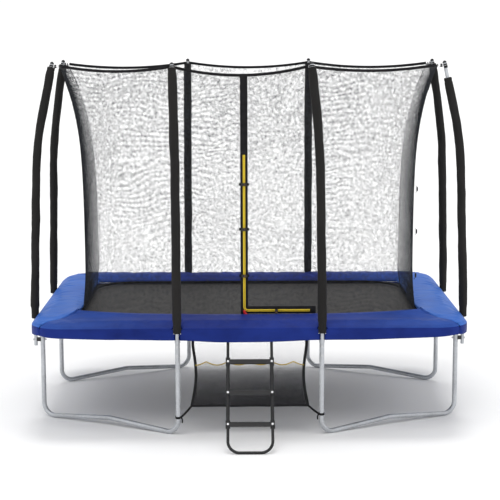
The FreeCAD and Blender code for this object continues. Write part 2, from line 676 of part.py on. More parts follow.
def make_door():
    """The reinforcing band, the zip, its slider, the buckles and the side toggles."""
    band_gap = 4.0
    zip_gap = band_gap + BAND_THICKNESS + 0.5
    half_band, half_zip = BAND_WIDTH / 2, ZIP_WIDTH / 2
    hem_bottom = net_top_corners()["front_right"].z - 6
    band = upright_strip(
        DOOR_X - half_band, DOOR_X + half_band, BAND_BOTTOM, hem_bottom, band_gap, BAND_THICKNESS)
    sill = upright_strip(
        DOOR_X - half_band, BAND_RIGHT, BAND_BOTTOM, BAND_BOTTOM + BAND_WIDTH, band_gap, BAND_THICKNESS)
    save("door_band", band.fuse(sill).removeSplitter())
    zip_tape = upright_strip(
        DOOR_X - half_zip, DOOR_X + half_zip, ZIP_BOTTOM, ZIP_TOP, zip_gap, ZIP_THICKNESS)
    zip_sill = upright_strip(
        DOOR_X - half_zip, ZIP_RIGHT, ZIP_BOTTOM - half_zip, ZIP_BOTTOM + half_zip, zip_gap, ZIP_THICKNESS)
    save("door_zip", zip_tape.fuse(zip_sill).removeSplitter())

    face = door_front(ZIP_BOTTOM) - zip_gap - ZIP_THICKNESS
    slider = block(Vector(DOOR_X, face - 4.5, ZIP_BOTTOM + 6), (14, 7, 22))
    tab = block(Vector(DOOR_X, face - 9.3, ZIP_BOTTOM - 9), (9, 2.6, 28))
    tab.rotate(Vector(DOOR_X, face, ZIP_BOTTOM + 4), Vector(0, 1, 0), -PULL_ANGLE)
    save("zip_slider", slider.fuse(tab).removeSplitter())

    buckles = []
    for height in BUCKLE_HEIGHTS:
        front = door_front(height) - zip_gap
        buckles.append(buckle(Vector(DOOR_X, front, height), False))
    sill_front = door_front(ZIP_BOTTOM) - zip_gap
    buckles.append(buckle(Vector(BUCKLE_ON_SILL_X, sill_front, ZIP_BOTTOM), True))
    save("door_buckles", Part.makeCompound(buckles))

    side_buckles = []
    for height in SIDE_BUCKLE_HEIGHTS:
        centre = Vector(side_face(height) + 13, SIDE_BUCKLE_Y, height)
        side_buckles.append(block(centre, (18, 14, 34)))
    save("net_side_buckles", Part.makeCompound(side_buckles))


def buckle(base, upright):
    """A strap buckle that bridges the zip, high enough for the slider to pass."""
    span, width, bridge, sole = 42.0, 24.0, 20.0, 5.0
    outer = (span, bridge, width) if not upright else (width, bridge, span)
    centre = base - Vector(0, bridge / 2, 0)
    body = block(centre, outer)
    opening = (span - 2 * sole, bridge, width + 2) if not upright else (width + 2, bridge, span - 2 * sole)
    return body.cut(block(centre + Vector(0, sole, 0), opening))


# --- Ladder --------------------------------------------------------------------
def ladder_axes():
    """The bend of the side tubes, the direction down the ladder, and out of its face."""
    hang_y = -RAIL_HALF_WIDTH - (HOOK_INNER + HOOK_OUTER) / 2
    bend = Vector(0, hang_y, LADDER_BEND_HEIGHT)
    foot = Vector(0, LADDER_FOOT_Y, LADDER_TUBE)
    down = (foot - bend).normalize()
    out = Vector(0, down.z, -down.y)
    return bend, foot, down, out


def ladder_point(x, height, lift=0.0):
    """A point on the ladder's sloping plane, lifted off its face."""
    bend, _, down, out = ladder_axes()
    along = (height - bend.z) / down.z
    return Vector(x, 0, 0) + bend + down * along + out * lift


def ladder_tab(x, height, lift_low, lift_high, towards_tube):
    """A flattened tube end at one rung bolt, reaching into its own tube."""
    _, _, down, out = ladder_axes()
    base = ladder_point(x, height) + out * lift_low
    side = Vector(TAB_WIDTH / 2, 0, 0)
    free_end = base - down * (towards_tube * TAB_LENGTH / 2)
    tube_end = base + down * (towards_tube * (TAB_LENGTH / 2 + TAB_REACH))
    corners = (free_end - side, free_end + side, tube_end + side, tube_end - side)
    return plate(corners, out * (lift_high - lift_low))


def bolt_bore(x, height):
    """The clearance hole for one rung bolt."""
    out = ladder_axes()[3]
    start = ladder_point(x, height, -30)
    return Part.makeCylinder(BOLT_RADIUS + BOLT_CLEARANCE, 60, start, out)


def ladder_hook(x):
    """The strap that hooks over the front rail, half-round with an open back."""
    centre = Vector(x - HOOK_WIDTH / 2, -RAIL_HALF_WIDTH, RAIL_HEIGHT)
    along = Vector(1, 0, 0)
    ring = Part.makeCylinder(HOOK_OUTER, HOOK_WIDTH, centre, along)
    ring = ring.cut(Part.makeCylinder(HOOK_INNER, HOOK_WIDTH, centre, along))
    lower_half = Part.makeBox(
        HOOK_WIDTH, 80, 60, Vector(centre.x, -RAIL_HALF_WIDTH - 40, RAIL_HEIGHT - 72))
    ring = ring.cut(lower_half)
    leg_low = Vector(centre.x, -RAIL_HALF_WIDTH - HOOK_OUTER, 690)
    leg = Part.makeBox(HOOK_WIDTH, HOOK_OUTER - HOOK_INNER, RAIL_HEIGHT - 690, leg_low)
    return ring.fuse(leg)


def make_ladder():
    """Hooked upper tubes, middle tubes, the one-piece foot, rungs and bolts."""
    _, _, down, out = ladder_axes()
    bend = ladder_axes()[0]
    top_rung = RUNG_HEIGHTS[2]
    low_rung = RUNG_HEIGHTS[0]
    clear = TAB_LENGTH / 2 + 1
    lap = 0.1
    shift = out * ((TAB_THICKNESS + lap) / 2)
    for side, x in (("left", -LADDER_HALF_WIDTH), ("right", LADDER_HALF_WIDTH)):
        tube_top = Vector(x, bend.y, 700)
        joint = ladder_point(x, top_rung) - down * clear
        upper = bent_tube(
            [tube_top, Vector(x, bend.y, bend.z), joint], [LADDER_BEND_RADIUS], LADDER_TUBE, LADDER_WALL)
        tab = ladder_tab(x, top_rung, lap, TAB_THICKNESS, -1).cut(bolt_bore(x, top_rung))
        save("ladder_hook_" + side, upper.fuse([ladder_hook(x), tab]).removeSplitter())

        start = ladder_point(x, top_rung) + down * clear - shift
        end = ladder_point(x, low_rung) - down * clear - shift
        middle = straight_tube(start, end, LADDER_MIDDLE_TUBE, LADDER_MIDDLE_TUBE - LADDER_WALL)
        for height, towards_tube in ((top_rung, 1), (low_rung, -1)):
            tab = ladder_tab(x, height, -TAB_THICKNESS, -lap, towards_tube)
            middle = middle.fuse(tab.cut(bolt_bore(x, height)))
        save("ladder_middle_" + side, middle.cut(bolt_bore(x, RUNG_HEIGHTS[1])))

    foot_points = [
        ladder_point(-LADDER_HALF_WIDTH, low_rung) + down * clear,
        ladder_point(-LADDER_HALF_WIDTH, LADDER_TUBE),
        ladder_point(LADDER_HALF_WIDTH, LADDER_TUBE),
        ladder_point(LADDER_HALF_WIDTH, low_rung) + down * clear,
    ]
    foot = bent_tube(foot_points, [LADDER_CORNER_RADIUS] * 2, LADDER_TUBE, LADDER_WALL)
    for x in (-LADDER_HALF_WIDTH, LADDER_HALF_WIDTH):
        tab = ladder_tab(x, low_rung, lap, TAB_THICKNESS, 1)
        foot = foot.fuse(tab.cut(bolt_bore(x, low_rung)))
    save("ladder_foot", foot)

    bolts = []
    for number, height in enumerate(RUNG_HEIGHTS, start=1):
        front, back = TAB_THICKNESS, TAB_THICKNESS
        if height == RUNG_HEIGHTS[1]:
            front = LADDER_MIDDLE_TUBE - (TAB_THICKNESS + lap) / 2
            back = LADDER_MIDDLE_TUBE + (TAB_THICKNESS + lap) / 2
        save("ladder_rung_%d" % number, ladder_rung(height, front + lap))
        for x in (-LADDER_HALF_WIDTH, LADDER_HALF_WIDTH):
            bolts.append(rung_bolt(x, height, front + RUNG_TAB + 2 * lap, back + lap))
    save("ladder_bolts", Part.makeCompound(bolts))


def ladder_rung(height, tab_base):
    """A flat step between the side tubes, with a thin tab lapping each of them."""
    _, _, down, out = ladder_axes()
    tab_top = tab_base + RUNG_TAB
    half_step = LADDER_HALF_WIDTH - TAB_WIDTH / 2 - 1
    half_depth = down * (RUNG_DEPTH / 2)
    centre = ladder_point(0, height)
    low = centre + out * (tab_top - RUNG_THICKNESS)
    side = Vector(half_step, 0, 0)
    corners = (
        low - side - half_depth, low + side - half_depth,
        low + side + half_depth, low - side + half_depth,
    )
    step = plate(corners, out * RUNG_THICKNESS)
    reach = Vector(LADDER_HALF_WIDTH + TAB_WIDTH / 2, 0, 0)
    tab_low = centre + out * tab_base
    corners = (
        tab_low - reach - half_depth, tab_low + reach - half_depth,
        tab_low + reach + half_depth, tab_low - reach + half_depth,
    )
    rung = step.fuse(plate(corners, out * RUNG_TAB))
    for x in (-LADDER_HALF_WIDTH, LADDER_HALF_WIDTH):
        rung = rung.cut(bolt_bore(x, height))
    return rung.removeSplitter()


def rung_bolt(x, height, face, back):
    """A bolt with its flat head on the rung tab and a nut at the back."""
    out = ladder_axes()[3]
    shank_end = back + NUT_HEIGHT + 2
    shank = Part.makeCylinder(
        BOLT_RADIUS, shank_end + face + BOLT_HEAD, ladder_point(x, height, -shank_end), out)
    head = Part.makeCylinder(7.5, BOLT_HEAD, ladder_point(x, height, face), out)
    nut = Part.makeCylinder(6.5, NUT_HEIGHT, ladder_point(x, height, -back - NUT_HEIGHT), out)
    return shank.fuse([head, nut]).removeSplitter()


# --- Net panel under the frame ---------------------------------------------------
def make_under_net():
    """The panel that closes the space under the mat behind the ladder, and its ties."""
    corners = (
        Vector(-UNDER_HALF_WIDTH, -RAIL_HALF_WIDTH, UNDER_TOP),
        Vector(UNDER_HALF_WIDTH, -RAIL_HALF_WIDTH, UNDER_TOP),
        Vector(UNDER_HALF_WIDTH, -RAIL_HALF_WIDTH, UNDER_BOTTOM),
        Vector(-UNDER_HALF_WIDTH, -RAIL_HALF_WIDTH, UNDER_BOTTOM),
    )
    save("under_net", plate(corners, Vector(0, UNDER_THICKNESS, 0)))
    ties = []
    for sign in (-1, 1):
        leg_axis = Vector(sign * UPRIGHT_X, -RAIL_HALF_WIDTH, UNDER_TIE_HEIGHT - 12)
        loop = straight_tube(leg_axis, leg_axis + UP * 24, LEG_RADIUS + 3.4, LEG_RADIUS + 0.4)
        start = Vector(sign * (UPRIGHT_X - LEG_RADIUS - 2), -RAIL_HALF_WIDTH, UNDER_TIE_HEIGHT)
        end = Vector(sign * (UNDER_HALF_WIDTH + 3), -RAIL_HALF_WIDTH, UNDER_BOTTOM)
        strap = Part.makeCylinder(STRAP_RADIUS / 2, (end - start).Length, start, end - start)
        ties.append(loop.fuse(strap))
    save("under_net_ties", Part.makeCompound(ties))


os.makedirs("parts", exist_ok=True)
make_rails()
make_corner_rails()
make_legs()
make_poles()
make_clamps()
make_mat()
make_pads()
make_net()
make_door()
make_ladder()
make_under_net()
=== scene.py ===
from itertools import product
from math import atan2, cos, exp, pi, radians, sin, sqrt, tan

import bmesh
import bpy
from mathutils import Matrix, Vector, noise


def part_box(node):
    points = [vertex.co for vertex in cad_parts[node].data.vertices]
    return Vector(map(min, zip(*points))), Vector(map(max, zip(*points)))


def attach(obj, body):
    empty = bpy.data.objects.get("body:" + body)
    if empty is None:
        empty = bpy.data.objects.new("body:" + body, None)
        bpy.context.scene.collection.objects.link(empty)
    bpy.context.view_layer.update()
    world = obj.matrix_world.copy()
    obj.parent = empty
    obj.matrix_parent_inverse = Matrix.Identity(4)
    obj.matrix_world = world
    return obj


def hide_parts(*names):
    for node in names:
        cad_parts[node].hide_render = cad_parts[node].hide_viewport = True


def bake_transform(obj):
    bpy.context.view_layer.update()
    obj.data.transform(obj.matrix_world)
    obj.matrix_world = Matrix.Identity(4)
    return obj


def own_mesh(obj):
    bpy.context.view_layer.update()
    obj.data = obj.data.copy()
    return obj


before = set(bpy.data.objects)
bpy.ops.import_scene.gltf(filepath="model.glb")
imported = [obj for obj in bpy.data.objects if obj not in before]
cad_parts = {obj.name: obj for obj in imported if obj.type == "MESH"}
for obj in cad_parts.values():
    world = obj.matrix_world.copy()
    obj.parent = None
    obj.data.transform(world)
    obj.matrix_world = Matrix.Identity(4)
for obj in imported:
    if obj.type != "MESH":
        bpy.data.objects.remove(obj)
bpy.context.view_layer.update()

# The looks of a rectangular garden trampoline, in metres. The origin is on the
# ground under the middle of the frame, +Z is up and -Y is the front, with the door.


# --- Small helpers -------------------------------------------------------------
def vec(x=0.0, y=0.0, z=0.0):
    return Vector((x, y, z))


def lumps(x, y, z, size):
    """Smooth unevenness that is the same on every run."""
    return noise.noise(vec(x, y, z)) * size


def spread(start, end, count):
    """Evenly spaced values from start to end."""
    return [start + (end - start) * step / count for step in range(count + 1)]


def turns(count):
    """Evenly spaced angles of one full turn."""
    return [2 * pi * step / count for step in range(count)]


def smoothed(points, rounds=2):
    """Cut the corners of a path a few times."""
    for _ in range(rounds):
        finer = [points[0]]
        for first, second in zip(points, points[1:]):
            finer += [first.lerp(second, 0.25), first.lerp(second, 0.75)]
        points = finer + [points[-1]]
    return points


def run_at(path, index):
    """The direction of a path at one of its points."""
    return (path[min(index + 1, len(path) - 1)] - path[max(index - 1, 0)]).normalized()


def middle(node):
    low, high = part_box(node)
    return (low + high) * 0.5


X, Y, UP = vec(1), vec(0, 1), vec(0, 0, 1)
SIDES = {"front": -Y, "back": Y, "left": -X, "right": X}
POLES = (
    "front_left", "front_right", "back_left", "back_right",
    "left_front", "left_back", "right_front", "right_back",
)

# --- Places read from the frame --------------------------------------------------
RAIL_X, RAIL_Y, RAIL_Z = middle("rail_right").x, middle("rail_back").y, middle("rail_back").z
RAIL_RADIUS = RAIL_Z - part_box("rail_back")[0].z
MAT_LOW, MAT_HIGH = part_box("jump_mat")
PAD_LOW, PAD_TOP = [corner.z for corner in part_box("pad_front")]
SKIRT_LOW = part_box("pad_front_skirt")[0].z
NET_LOW, NET_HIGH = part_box("safety_net")
ZIP_LOW, ZIP_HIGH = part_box("door_zip")
BAND_LOW, BAND_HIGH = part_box("door_band")

# --- Sizes that the soft pieces share with the frame -----------------------------
UPRIGHT_X, UPRIGHT_Y = 0.499, 0.519
PAD_CORNER = 0.240
PAD_SHEEN_ABOVE = 0.764  # between the skirts and the tops of the pads; painted sheen lightens the tops above it
PAD_OUTER = (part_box("pad_right")[1].x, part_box("pad_back")[1].y, PAD_CORNER)
PAD_INNER = (1.224, 0.815, 0.060)
MAT_CORNER = 0.150
POLE_RADIUS = 0.0127
POLE_TILT_HEIGHT, POLE_TILT_RADIUS, POLE_TILT = 0.862, 3.000, radians(2.0)
POLE_BEND_START, POLE_BEND_RADIUS, POLE_BEND_ANGLE = 1.770, 2.500, radians(12.0)
POLE_TOP_RUN = 0.366
NET_FOOT_X, NET_FOOT_Y, NET_FOOT_CORNER = 1.206, 0.800, 0.300
NET_TOP_INSET, NET_TOP_DROP = 0.050, 0.038
SPRING_COUNTS = {"front": 20, "back": 20, "left": 13, "right": 13}


# --- Colours and shader nodes ----------------------------------------------------
def paint(colour, factor=1.0, extra=0.0):
    """A colour of 0 to 255 a channel, made lighter or darker, as linear light."""
    shares = [(channel * factor + extra) / 255 for channel in colour]
    return (*[s / 12.92 if s <= 0.04045 else ((s + 0.055) / 1.055) ** 2.4 for s in shares], 1.0)


class Signal:
    """A shader value that can be added, multiplied, compared and shaped."""

    def __init__(self, look, socket):
        self.look, self.socket = look, socket

    def operator(name):
        return lambda self, other=0.0: self.look.node("Math", {0: self, 1: other}, operation=name)

    __add__, __sub__, __mul__, __truediv__ = map(operator, ("ADD", "SUBTRACT", "MULTIPLY", "DIVIDE"))
    __lt__, __gt__, __abs__ = map(operator, ("LESS_THAN", "GREATER_THAN", "ABSOLUTE"))
    sine, fract, most = map(operator, ("SINE", "FRACT", "MAXIMUM"))

    def between(self, low, high):
        return (self > low) * (self < high)

    def lines(self, pitch, width):
        """1 on evenly spaced lines."""
        return (self / pitch).fract() * pitch < width

    def scaled(self, low, high, start=0.0, end=1.0):
        """The value carried over from one range, start to end, to another."""
        return self.look.node("MapRange", {
            "Value": self, "From Min": start, "From Max": end, "To Min": low, "To Max": high})

    def ramp(self, start, first, end, second):
        """One colour up to start, another from end, and a blend between."""
        blend = self.look.node("ValToRGB", {0: self})
        for index, where, colour in ((0, start, first), (1, end, second)):
            stop = blend.socket.node.color_ramp.elements[index]
            stop.position, stop.color = where, colour
        return blend

    def bump(self, distance, strength):
        return self.look.node("Bump", {"Height": self, "Distance": distance, "Strength": strength})


class Finish:
    """A material, with short calls that add its nodes."""

    def __init__(self, name, **inputs):
        self.material = bpy.data.materials.new(name)
        self.material.use_nodes = True
        self.tree = self.material.node_tree
        coords = self.tree.nodes.new("ShaderNodeTexCoord")
        self.place = Signal(self, coords.outputs["Object"])
        self.along, self.across, _ = self.split(Signal(self, coords.outputs["UV"]))
        self.set(**inputs)

    def feed(self, node, inputs):
        for key, value in inputs.items():
            if isinstance(value, Signal):
                self.tree.links.new(value.socket, node.inputs[key])
            else:
                node.inputs[key].default_value = value

    def node(self, kind, inputs, output=0, **settings):
        node = self.tree.nodes.new("ShaderNode" + kind)
        for key, value in settings.items():
            setattr(node, key, value)
        self.feed(node, inputs)
        return Signal(self, node.outputs[output])

    def split(self, vector):
        outputs = self.node("SeparateXYZ", {0: vector}).socket.node.outputs
        return [Signal(self, output) for output in outputs]

    def noise(self, scale, detail, stretch=None):
        source = self.node("Mapping", {"Vector": self.place, "Scale": stretch}) if stretch else self.place
        return self.node("TexNoise", {"Vector": source, "Scale": scale, "Detail": detail}, "Fac")

    def cells(self, scale):
        return self.node("TexVoronoi", {"Vector": self.place, "Scale": scale}, "Distance")

    def weave(self, pitch):
        """The height of a plain weave."""
        turn = 2 * pi / pitch
        return (self.along * turn).sine() * (self.across * turn).sine() * 0.5 + 0.5

    def mix(self, factor, first, second, blend="MIX"):
        return self.node("Mix", {0: factor, 6: first, 7: second}, 2, data_type="RGBA", blend_type=blend)

    def set(self, **inputs):
        surface = self.tree.nodes["Principled BSDF"]
        self.feed(surface, {key.replace("_", " "): value for key, value in inputs.items()})
        return self.material


def steel_finish(name, colour, roughness, spangle):
    """Galvanised or zinc-plated steel: cloudy spangle, drawn lines and dull spots."""
    look = Finish(name, Metallic=0.82)
    cloud, grain, speck = look.noise(9.0, 4.0), look.cells(spangle), look.noise(240.0, 2.0)
    base = cloud.ramp(0.3, paint(colour, 0.86), 0.7, paint(colour))
    return look.set(Base_Color=look.mix(grain.scaled(0.0, 0.35), base, paint(colour, 1.1)),
                    Roughness=(cloud + speck * 0.4).scaled(roughness - 0.1, roughness + 0.14),
                    Normal=(speck + grain).bump(0.0004, 0.35))


def plastic_finish(name, colour, roughness):
    """Moulded plastic with a fine spark texture and worn, paler patches."""
    look = Finish(name)
    wear = look.noise(14.0, 5.0)
    return look.set(Base_Color=wear.ramp(0.42, paint(colour), 0.75, paint(colour, 1.35, 4)),
                    Roughness=wear.scaled(roughness - 0.08, roughness + 0.12),
                    Normal=look.noise(900.0, 2.0).bump(0.0003, 0.5))


def coated_finish(name, colour):
    """Powder coat on the ladder: orange-peel gloss, with scuffs on the faces."""
    look = Finish(name, Coat_Weight=0.06, Coat_Roughness=0.3, Specular_IOR_Level=0.3)
    scuff = look.noise(26.0, 6.0, (1.0, 3.0, 0.4))
    return look.set(Base_Color=scuff.ramp(0.5, paint(colour), 0.82, paint(colour, 1.7, 8)),
                    Roughness=scuff.scaled(0.3, 0.5), Normal=look.noise(420.0, 2.0).bump(0.0005, 0.4))


def webbing_finish(name, colour, pitch=0.0016):
    """Woven strap: ribs across it, a chevron along it, and a slightly dusty face."""
    look = Finish(name, Roughness=0.85, Sheen_Weight=0.04, Specular_IOR_Level=0.15)
    chevron = abs((look.across * 400.0).sine())
    height = (look.along * (2 * pi / pitch) + chevron * 2.0).sine() * 0.5 + 0.5
    base = look.noise(30.0, 4.0).ramp(0.35, paint(colour), 0.8, paint(colour, 1.3, 5))
    return look.set(Base_Color=look.mix(height.scaled(0.0, 0.3), base, paint(colour, 0.55)),
                    Normal=height.bump(0.0004, 0.7))


def sleeve_finish():
    """Dark woven nylon over foam, faded on the ridges."""
    look = Finish("sleeve_fabric", Sheen_Weight=0.03, Sheen_Roughness=0.5, Specular_IOR_Level=0.2)
    cloth, fade = look.weave(0.0022), look.noise(5.0, 5.0)
    crease = look.noise(22.0, 4.0, (1.0, 1.0, 0.22))
    base = fade.ramp(0.35, paint((25, 24, 23)), 0.7, paint((37, 35, 34)))
    return look.set(Base_Color=look.mix(cloth.scaled(0.0, 0.35), base, paint((20, 20, 22))),
                    Roughness=fade.scaled(0.62, 0.85), Normal=(cloth * 0.12 + crease).bump(0.0035, 0.6))


def vinyl_finish():
    """Blue coated fabric: fine grain, gentle fading, painted shade in the folds and seam stitching.

    The tops of the short sides and the corners are painted paler: painted sheen and top light, which the upright
    skirts don't get."""
    look = Finish("pad_vinyl", Specular_IOR_Level=0.07)
    fade, crumple = look.noise(2.3, 5.0), look.noise(16.0, 5.0, (0.6, 1.3, 1.0))
    deep = fade.ramp(0.3, paint((22, 38, 106)), 0.72, paint((31, 51, 130)))
    painted_sheen = fade.ramp(0.3, paint((53, 95, 176)), 0.72, paint((67, 112, 192)))
    x, y, z = look.split(look.place)
    sheen_on_short_sides = abs(x) - abs(y) > PAD_INNER[0] - PAD_INNER[1]
    ends = abs(x).scaled(0.0, 0.34, 0.5, 1.3)
    # painted sheen and top light: the tops of the short sides, and of the long sides towards their ends, are painted
    # paler than the skirts
    base = look.mix(sheen_on_short_sides.most(ends) * (z > PAD_SHEEN_ABOVE), deep, painted_sheen)
    # painted shade: the hollows of the crumple bump are darkened
    fold_shade = crumple.ramp(0.3, (0.72, 0.72, 0.75, 1), 0.55, (1, 1, 1, 1))
    base = look.mix(0.6, base, fold_shade, "MULTIPLY")
    rows = look.across.between(0.0112, 0.0124) + look.across.between(0.0182, 0.0194)
    stitch = look.along.lines(0.0062, 0.0042) * rows
    base = look.mix(stitch * 0.8, base, paint((20, 34, 96)))
    height = look.cells(620.0) * 0.05 + crumple * 1.4 - stitch * 0.3 + look.weave(0.0011) * 0.04
    return look.set(Base_Color=base, Roughness=crumple.scaled(0.36, 0.56), Normal=height.bump(0.002, 0.55))


def mat_finish():
    """Dense black polypropylene weave: greyed in the middle, warmer towards its edges."""
    look = Finish("mat_weave", Sheen_Weight=0.02, Specular_IOR_Level=0.12)
    cloth, tone = look.weave(0.0032), look.noise(1.7, 4.0)
    lane = look.noise(3.0, 2.0, (0.2, 6.0, 1.0))
    base = tone.ramp(0.3, paint((42, 41, 40)), 0.75, paint((55, 55, 55)))
    base = look.mix(lane.scaled(0.0, 0.35), base, paint((60, 53, 46)))
    base = look.mix(cloth.scaled(0.0, 0.4), base, paint((22, 22, 23)))
    return look.set(Base_Color=base, Roughness=tone.scaled(0.45, 0.62), Normal=cloth.bump(0.0006, 0.7))


def mesh_finish(name, colour, pitch, thread, waves=0.0, low=(0.0, 1.0), high=(1.0, 1.0)):
    """Netting: slanting threads that cross, drawn tighter and looser in wavy bands.

    The threads widen from one height to another, each given with its share of the width."""
    look = Finish(name, Roughness=0.8, Specular_IOR_Level=0.1)
    slant = look.across * 0.62
    drift = look.noise(1.7, 2.5, (1.0, 1.0, 1.3)) * 9.0
    band = (look.across * (2 * pi / 0.040) + drift * (2 * pi)).sine()
    patch = look.noise(1.1, 2.0).ramp(0.42, (0, 0, 0, 1), 0.62, (1, 1, 1, 1))
    speckle = look.noise(46.0, 1.5).scaled(-4.4, 4.4)
    growth = look.across.scaled(low[1], high[1], low[0], high[0])
    cloud = look.noise(1.5, 4.0).scaled(0.6, 1.4) * growth
    width = ((band * patch * 1.3 + speckle) * (thread * waves) + thread) * cloud
    threads = (look.along + slant).lines(pitch, width).most((look.along - slant).lines(pitch, width))
    base = look.noise(3.0, 4.0).ramp(0.3, paint(colour), 0.75, paint(colour, 1.2, 6))
    return look.set(Base_Color=base, Alpha=threads)


def cord_finish(colour):
    """Twisted net cord, with its strands running up at a slant."""
    look = Finish("net_cord", Roughness=0.85, Specular_IOR_Level=0.05)
    strand = (look.along * 1.5 + look.across).lines(0.0016, 0.0008)
    return look.set(Base_Color=look.mix(strand, paint(colour), paint(colour, 1.3, 4)))


def zip_finish():
    """Yellow zip tape with dark borders and a brown coil of teeth down its middle."""
    look = Finish("zip_tape", Roughness=0.6, Sheen_Weight=0.15)
    cloth, away = look.weave(0.0009), abs(look.across)
    base = look.mix(cloth.scaled(0.0, 0.25), paint((240, 208, 22)), paint((176, 142, 12)))
    base = look.mix(away > 0.0078, base, paint((52, 40, 14)))
    tooth, coil = look.along.lines(0.0018, 0.0011), away < 0.0019
    base = look.mix(coil, base, look.mix(tooth, paint((84, 66, 12)), paint((206, 172, 24))))
    return look.set(Base_Color=base, Normal=(cloth + coil * tooth * 3.0).bump(0.0003, 0.8))


def floor_finish():
    """Pale studio floor with barely any texture."""
    look = Finish("studio_floor", Roughness=0.9, Specular_IOR_Level=0.1)
    return look.set(Base_Color=look.noise(0.6, 3.0).ramp(0.3, (0.9, 0.9, 0.905, 1), 0.7, (0.93, 0.93, 0.93, 1)))


STEEL = steel_finish("galvanised_steel", (196, 199, 203), 0.42, 70.0)
ZINC = steel_finish("zinc_hardware", (205, 206, 208), 0.3, 160.0)
SPRING = steel_finish("spring_steel", (168, 171, 176), 0.32, 200.0)
PLASTIC = plastic_finish("black_plastic", (24, 24, 26), 0.48)
RED = plastic_finish("zip_pull", (196, 26, 30), 0.36)
BROWN = plastic_finish("buckle_latch", (88, 62, 26), 0.5)
COATED = coated_finish("black_paint", (18, 18, 20))
WEBBING = webbing_finish("black_webbing", (26, 26, 28))
SLEEVE = sleeve_finish()
VINYL = vinyl_finish()
MAT = mat_finish()
NET = mesh_finish("net_mesh", (46, 48, 52), 0.0042, 0.00034, 0.7, low=(0.1, 0.95), high=(1.75, 1.4))
CORD = cord_finish((34, 35, 38))
UNDER = mesh_finish("under_mesh", (120, 120, 124), 0.0038, 0.00030)
# The lower under-net is a denser dark mesh, and its threads thicken towards the bottom: painted shade for the floor
# shadow seen through it.
SHADED_LOWER_MESH = mesh_finish("lower_mesh_painted_shade", (30, 30, 32), 0.0036, 0.00125, low=(0.24, 2.3), high=(0.51, 0.5))
ELASTIC = webbing_finish("yellow_elastic", (150, 128, 46), 0.002)
ZIP = zip_finish()
FLOOR = floor_finish()

# The record's slot for a finish is the one it is named after (Blender may add a
# number to that name), apart from these finishes.
SLOTS = {CORD: "net_mesh", UNDER: "net_mesh", SHADED_LOWER_MESH: "net_mesh", ELASTIC: "zip_tape", BROWN: "black_plastic"}


# --- Building meshes -------------------------------------------------------------
def strap_section(width, thickness):
    """The outline of a flat strap with softened edges."""
    half, depth = width / 2, thickness / 2
    soft = min(depth * 0.8, half * 0.5)
    low = [(-half, soft - depth), (soft - half, -depth), (0, -depth), (half - soft, -depth), (half, soft - depth)]
    return low + [(-side, -out) for side, out in low]


